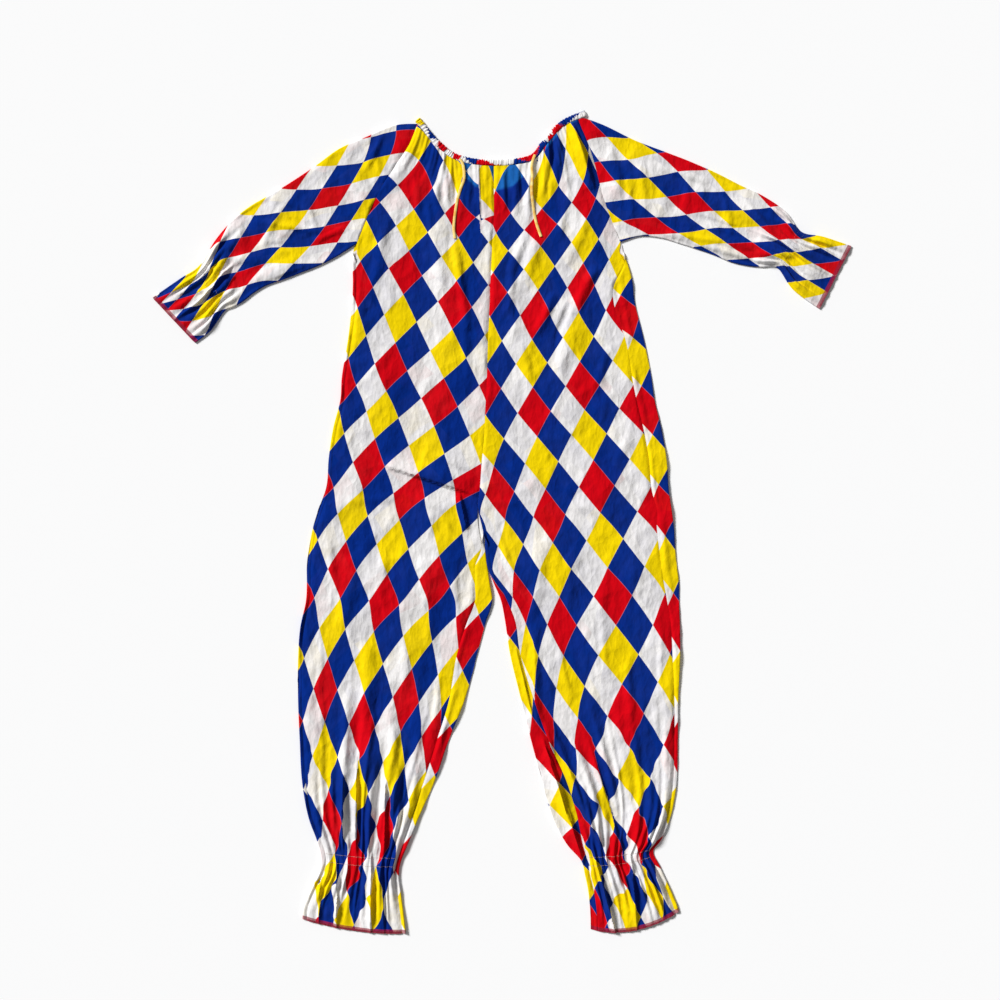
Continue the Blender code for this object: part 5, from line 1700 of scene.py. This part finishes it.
@dataclass(frozen=True)
class PrintedCotton:
    """Plain-weave cotton printed with diamonds in blue, white, red and yellow."""

    name: str = "printed_cotton_cloth"
    blue: Colour = (0.001, 0.021, 0.205)
    white: Colour = (0.790, 0.770, 0.765)
    red: Colour = (0.580, 0.001, 0.006)
    yellow: Colour = (0.830, 0.610, 0.001)
    hem_red: Colour = (0.300, 0.012, 0.035)
    thin_blue: Colour = (0.012, 0.125, 0.420)
    roughness: float = 0.86
    sheen: float = 0.02
    specular: float = 0.03
    show_through: float = 0.17
    thin_share: float = 0.85
    hem_width: float = 7.0
    hem_share: float = 0.78
    rim_width: float = 0.012
    rim_share: float = 0.09
    mottle_scale: float = 40.0
    speckle_scale: float = 260.0
    creases: tuple[tuple[float, float], ...] = ((66.0, 0.0017), (170.0, 0.0005))
    column_threads: float = 41.0
    row_threads: float = 110.0
    thread_height: float = 0.0001

    def diamonds(self, wiring: Wiring, chart: str) -> tuple[Socket, Socket, Socket]:
        """Colour the diamonds of a print chart.

        With I and J the whole steps nearest to the chart's i and j, I + J counts columns:
        by its remainder over 3 a diamond is blue, white or bright, and a bright one is
        yellow where half of J - I, rounded down, is even, and red where it is odd.

        Args:
            wiring: The material's wiring.
            chart: Name of the UV map that holds i and j.

        Returns:
            The colour, the remainder that sets it, and how far it is from the edge.
        """
        math_of = wiring.math
        across, down = wiring.chart(chart)
        first, second = math_of("ROUND", across), math_of("ROUND", down)
        column = math_of("FLOORED_MODULO", math_of("ADD", first, second), 3.0)
        is_white, is_bright = (math_of("COMPARE", column, rest, 0.2) for rest in (1.0, 2.0))
        half = math_of("MULTIPLY", math_of("SUBTRACT", second, first), 0.5)
        turn = math_of("FLOORED_MODULO", math_of("FLOOR", half), 2.0)
        bright = wiring.mix(math_of("GREATER_THAN", turn, 0.5), self.yellow, self.red)
        colour = wiring.mix(is_bright, wiring.mix(is_white, self.blue, self.white), bright)
        offs = (
            math_of("ABSOLUTE", math_of("SUBTRACT", place, whole))
            for place, whole in ((across, first), (down, second))
        )
        return colour, column, math_of("SUBTRACT", 0.5, math_of("MAXIMUM", *offs))

    def weave(self, wiring: Wiring) -> Socket:
        """Return the height of the weave: a product of two sines along the threads."""
        first, second = wiring.chart("print")
        waves = (
            wiring.math("SINE", wiring.math("MULTIPLY", place, turn))
            for place, turn in (
                (wiring.math("ADD", first, second), math.tau * self.column_threads),
                (wiring.math("SUBTRACT", second, first), math.pi * self.row_threads),
            )
        )
        return wiring.math("MULTIPLY", *waves)

    def material(self) -> bpy.types.Material:
        """Return the material: print, faint print from beneath, hems, weave and crumpling."""
        wiring = Wiring(self.name)
        math_of = wiring.math
        place = wiring.place()
        colour, column, inside = self.diamonds(wiring, "print")
        beneath = self.diamonds(wiring, "under")[0]
        rim = math_of("MULTIPLY", math_of("LESS_THAN", inside, self.rim_width), self.rim_share)
        colour = wiring.mix(rim, colour, self.white)
        mottle = wiring.noise(place, self.mottle_scale, 3.0)
        is_white = math_of("COMPARE", column, 1.0, 0.2)
        through = math_of("MULTIPLY", math_of("ADD", is_white, 0.03), self.show_through)
        through = math_of("MULTIPLY", through, wiring.ramp(mottle, 0.25, 0.75))
        colour = wiring.mix(through, colour, beneath)
        is_blue = math_of("LESS_THAN", column, 0.5)
        thin = math_of("MULTIPLY", wiring.measure("sheer"), is_blue)
        thin = math_of("MULTIPLY", thin, self.thin_share)
        colour = wiring.mix(thin, colour, self.thin_blue)
        covered = math_of("LESS_THAN", wiring.measure("hem"), self.hem_width)
        colour = wiring.mix(math_of("MULTIPLY", covered, self.hem_share), colour, self.hem_red)
        speckle = wiring.noise(place, self.speckle_scale, 2.0)
        shade = math_of("MULTIPLY_ADD", wiring.ramp(speckle, 0.3, 0.7), 0.05, 0.93)
        shade = math_of("MULTIPLY_ADD", wiring.ramp(mottle, 0.3, 0.7), 0.04, shade)
        bent = None
        for scale, depth in self.creases:
            bent = wiring.bump(wiring.facets(place, scale), 1.0, depth, bent)
        return wiring.finish({
            "Base Color": wiring.node("HueSaturation", {"Value": shade, "Color": colour}),
            "Roughness": self.roughness,
            "Sheen Weight": self.sheen,
            "Specular IOR Level": self.specular,
            "Normal": wiring.bump(self.weave(wiring), 0.18, self.thread_height, bent),
        })


@dataclass(frozen=True)
class YellowTape:
    """The drawstring's narrow tape: pale yellow cotton, mottled with a darker orange."""

    name: str = "yellow_tape_cloth"
    light: Colour = (0.950, 0.740, 0.250)
    dark: Colour = (0.830, 0.420, 0.060)
    roughness: float = 0.75
    thread_pitch: float = 0.9

    def material(self) -> bpy.types.Material:
        """Return the material: a mottled yellow with the tape's cross threads raised."""
        wiring = Wiring(self.name)
        stain = wiring.ramp(wiring.noise(wiring.place(), 120.0, 2.0), 0.35, 0.7)
        turn = math.tau / self.thread_pitch
        thread = wiring.math("SINE", wiring.math("MULTIPLY", wiring.measure("along"), turn))
        return wiring.finish({
            "Base Color": wiring.mix(stain, self.light, self.dark),
            "Roughness": self.roughness,
            "Normal": wiring.bump(thread, 0.3, 0.0002),
        })


@dataclass(frozen=True)
class Thread:
    """Spun sewing thread."""

    name: str
    colour: Colour
    shade: Colour
    roughness: float = 0.7

    def material(self) -> bpy.types.Material:
        """Return the material: two tones that turn with the thread's twist."""
        wiring = Wiring(self.name)
        twist = wiring.ramp(wiring.noise(wiring.place(), 700.0, 1.0), 0.35, 0.65)
        return wiring.finish({
            "Base Color": wiring.mix(twist, self.colour, self.shade),
            "Roughness": self.roughness,
            "Normal": wiring.bump(twist, 0.3, 0.0002),
        })


@dataclass(frozen=True)
class PaleFloor:
    """The plain floor that the suit lies on."""

    name: str = "pale_floor"
    colour: Colour = (0.940, 0.940, 0.942)
    roughness: float = 0.9
    specular: float = 0.1

    def material(self) -> bpy.types.Material:
        """Return the material."""
        return Wiring(self.name).finish({
            "Base Color": self.colour,
            "Roughness": self.roughness,
            "Specular IOR Level": self.specular,
        })


@dataclass
class Studio:
    """Camera straight above the suit, a plain floor and soft light."""

    camera_place: tuple[float, float, float] = (-0.00365, 0.0397, 3.2)
    view_width: float = 1.825
    sensor_width: float = 36.0
    floor_size: float = 12.0
    floor_height: float = -0.0004
    world_strength: float = 0.21
    key_power: float = 4.5
    key_from: tuple[float, float, float] = (-0.82, 0.60, 0.70)
    key_spread: float = 15.0

    def make(self) -> None:
        """Make the camera, the floor and the lights."""
        scene = bpy.context.scene
        scene.view_settings.view_transform = "Standard"
        data = bpy.data.cameras.new("camera")
        data.sensor_width = self.sensor_width
        data.lens = self.sensor_width * self.camera_place[2] / self.view_width
        scene.camera = add_object("camera", data)
        scene.camera.location = self.camera_place
        half = self.floor_size / 2
        corners = ((-half, -half), (half, -half), (half, half), (-half, half))
        mesh = bpy.data.meshes.new("floor")
        mesh.from_pydata([(x, y, self.floor_height) for x, y in corners], [], [(0, 1, 2, 3)])
        mesh.materials.append(PaleFloor().material())
        add_object("floor", mesh)
        scene.world = bpy.data.worlds.new("studio")
        scene.world.use_nodes = True
        background = scene.world.node_tree.nodes["Background"]
        background.inputs["Color"].default_value = (1.0, 1.0, 1.0, 1.0)
        background.inputs["Strength"].default_value = self.world_strength
        light = bpy.data.lights.new("key", "SUN")
        light.energy = self.key_power
        light.angle = math.radians(self.key_spread)
        key = add_object("key", light)
        key.rotation_euler = (-Vector(self.key_from)).to_track_quat("-Z", "Y").to_euler()


@dataclass
class Finishes:
    """The materials, made once."""

    cotton: bpy.types.Material
    tape: bpy.types.Material
    overlock: bpy.types.Material
    stitching: bpy.types.Material


@dataclass
class Half:
    """One side of the suit: a front, a back and a sleeve, with their hems and stitching."""

    side: Side
    finishes: Finishes
    stitch_shares: int = 500

    def build(self) -> bpy.types.Object:
        """Make every cloth and trim of this half, and return the front."""
        side = self.side
        front_seed, back_seed, sleeve_seed = (3, 31, 57) if side is Side.LEFT else (14, 42, 68)
        front = FrontPanel(
            side, FRONT_YOKE[side], NECK_FRONT, FRONT_SEAMS[side], 5.0, seed=front_seed
        )
        back = BackPanel(side, BACK_YOKE[side], NECK_BACK, BACK_SEAMS[side], 0.0, seed=back_seed)
        sleeve = Sleeve(side, front, back, seed=sleeve_seed)
        back_cloth = self.sew("back", back.mesh())
        front_cloth = self.sew("front", front.mesh(back))
        sleeve_cloth = self.sew("sleeve", sleeve.mesh())
        shares = np.linspace(0.005, 0.995, self.stitch_shares)
        lines = front.surface(np.array((32.8, 33.0, 28.75, 29.3)), shares)[0]
        self.trim("ankle", *lines)
        shares = np.linspace(0.01, 0.99, self.stitch_shares)
        last, elastic = sleeve.last, sleeve.elastic
        rows = np.array((last - 0.1, last, elastic - 0.15, elastic + 0.15))
        self.trim("cuff", *sleeve.top(rows, shares))
        return front_cloth

    def sew(self, part: str, mesh: ClothMesh) -> bpy.types.Object:
        """Put one of the three cloths in, in place of its solid."""
        node = part + "_" + self.side.value
        cloth = mesh.make(node + "_cloth", self.finishes.cotton, "printed_cotton")
        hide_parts(node)
        return cloth

    def trim(self, part: str, inner: np.ndarray, edge: np.ndarray, *elastic: np.ndarray) -> None:
        """Overlock a hem and sew the elastic above it.

        Args:
            part: Which hem.
            inner: Line where the overlocking ends, inside the edge.
            edge: The raw edge.
            *elastic: Lines of the stitches.
        """
        name = part + "_" + self.side.value
        sewn = {
            "_overlock": (OverlockHem(edge, inner).bodies(), self.finishes.overlock),
            "_stitches": ([StitchRow(line).mesh() for line in elastic], self.finishes.stitching),
        }
        for ending, (threads, thread) in sewn.items():
            join_meshes(threads).make(name + ending, thread, "printed_cotton")


def main() -> None:
    """Build the studio and the suit, in order."""
    logging.basicConfig(level=logging.INFO, format="%(name)s: %(message)s")
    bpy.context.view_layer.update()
    Studio().make()
    finishes = Finishes(
        cotton=PrintedCotton().material(),
        tape=YellowTape().material(),
        overlock=Thread("overlock_thread", (0.42, 0.010, 0.045), (0.22, 0.006, 0.025)).material(),
        stitching=Thread("stitch_thread", (0.52, 0.42, 0.36), (0.34, 0.24, 0.20)).material(),
    )
    fronts = [Half(side, finishes).build() for side in Side]
    casing = NeckCasing().mesh().make("neck_casing_cloth", finishes.cotton, "casing_cotton")
    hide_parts("neck_casing")
    for side in Side:
        Tie(side).dress(fronts + [casing], finishes.tape)


if __name__ == "__main__":
    main()
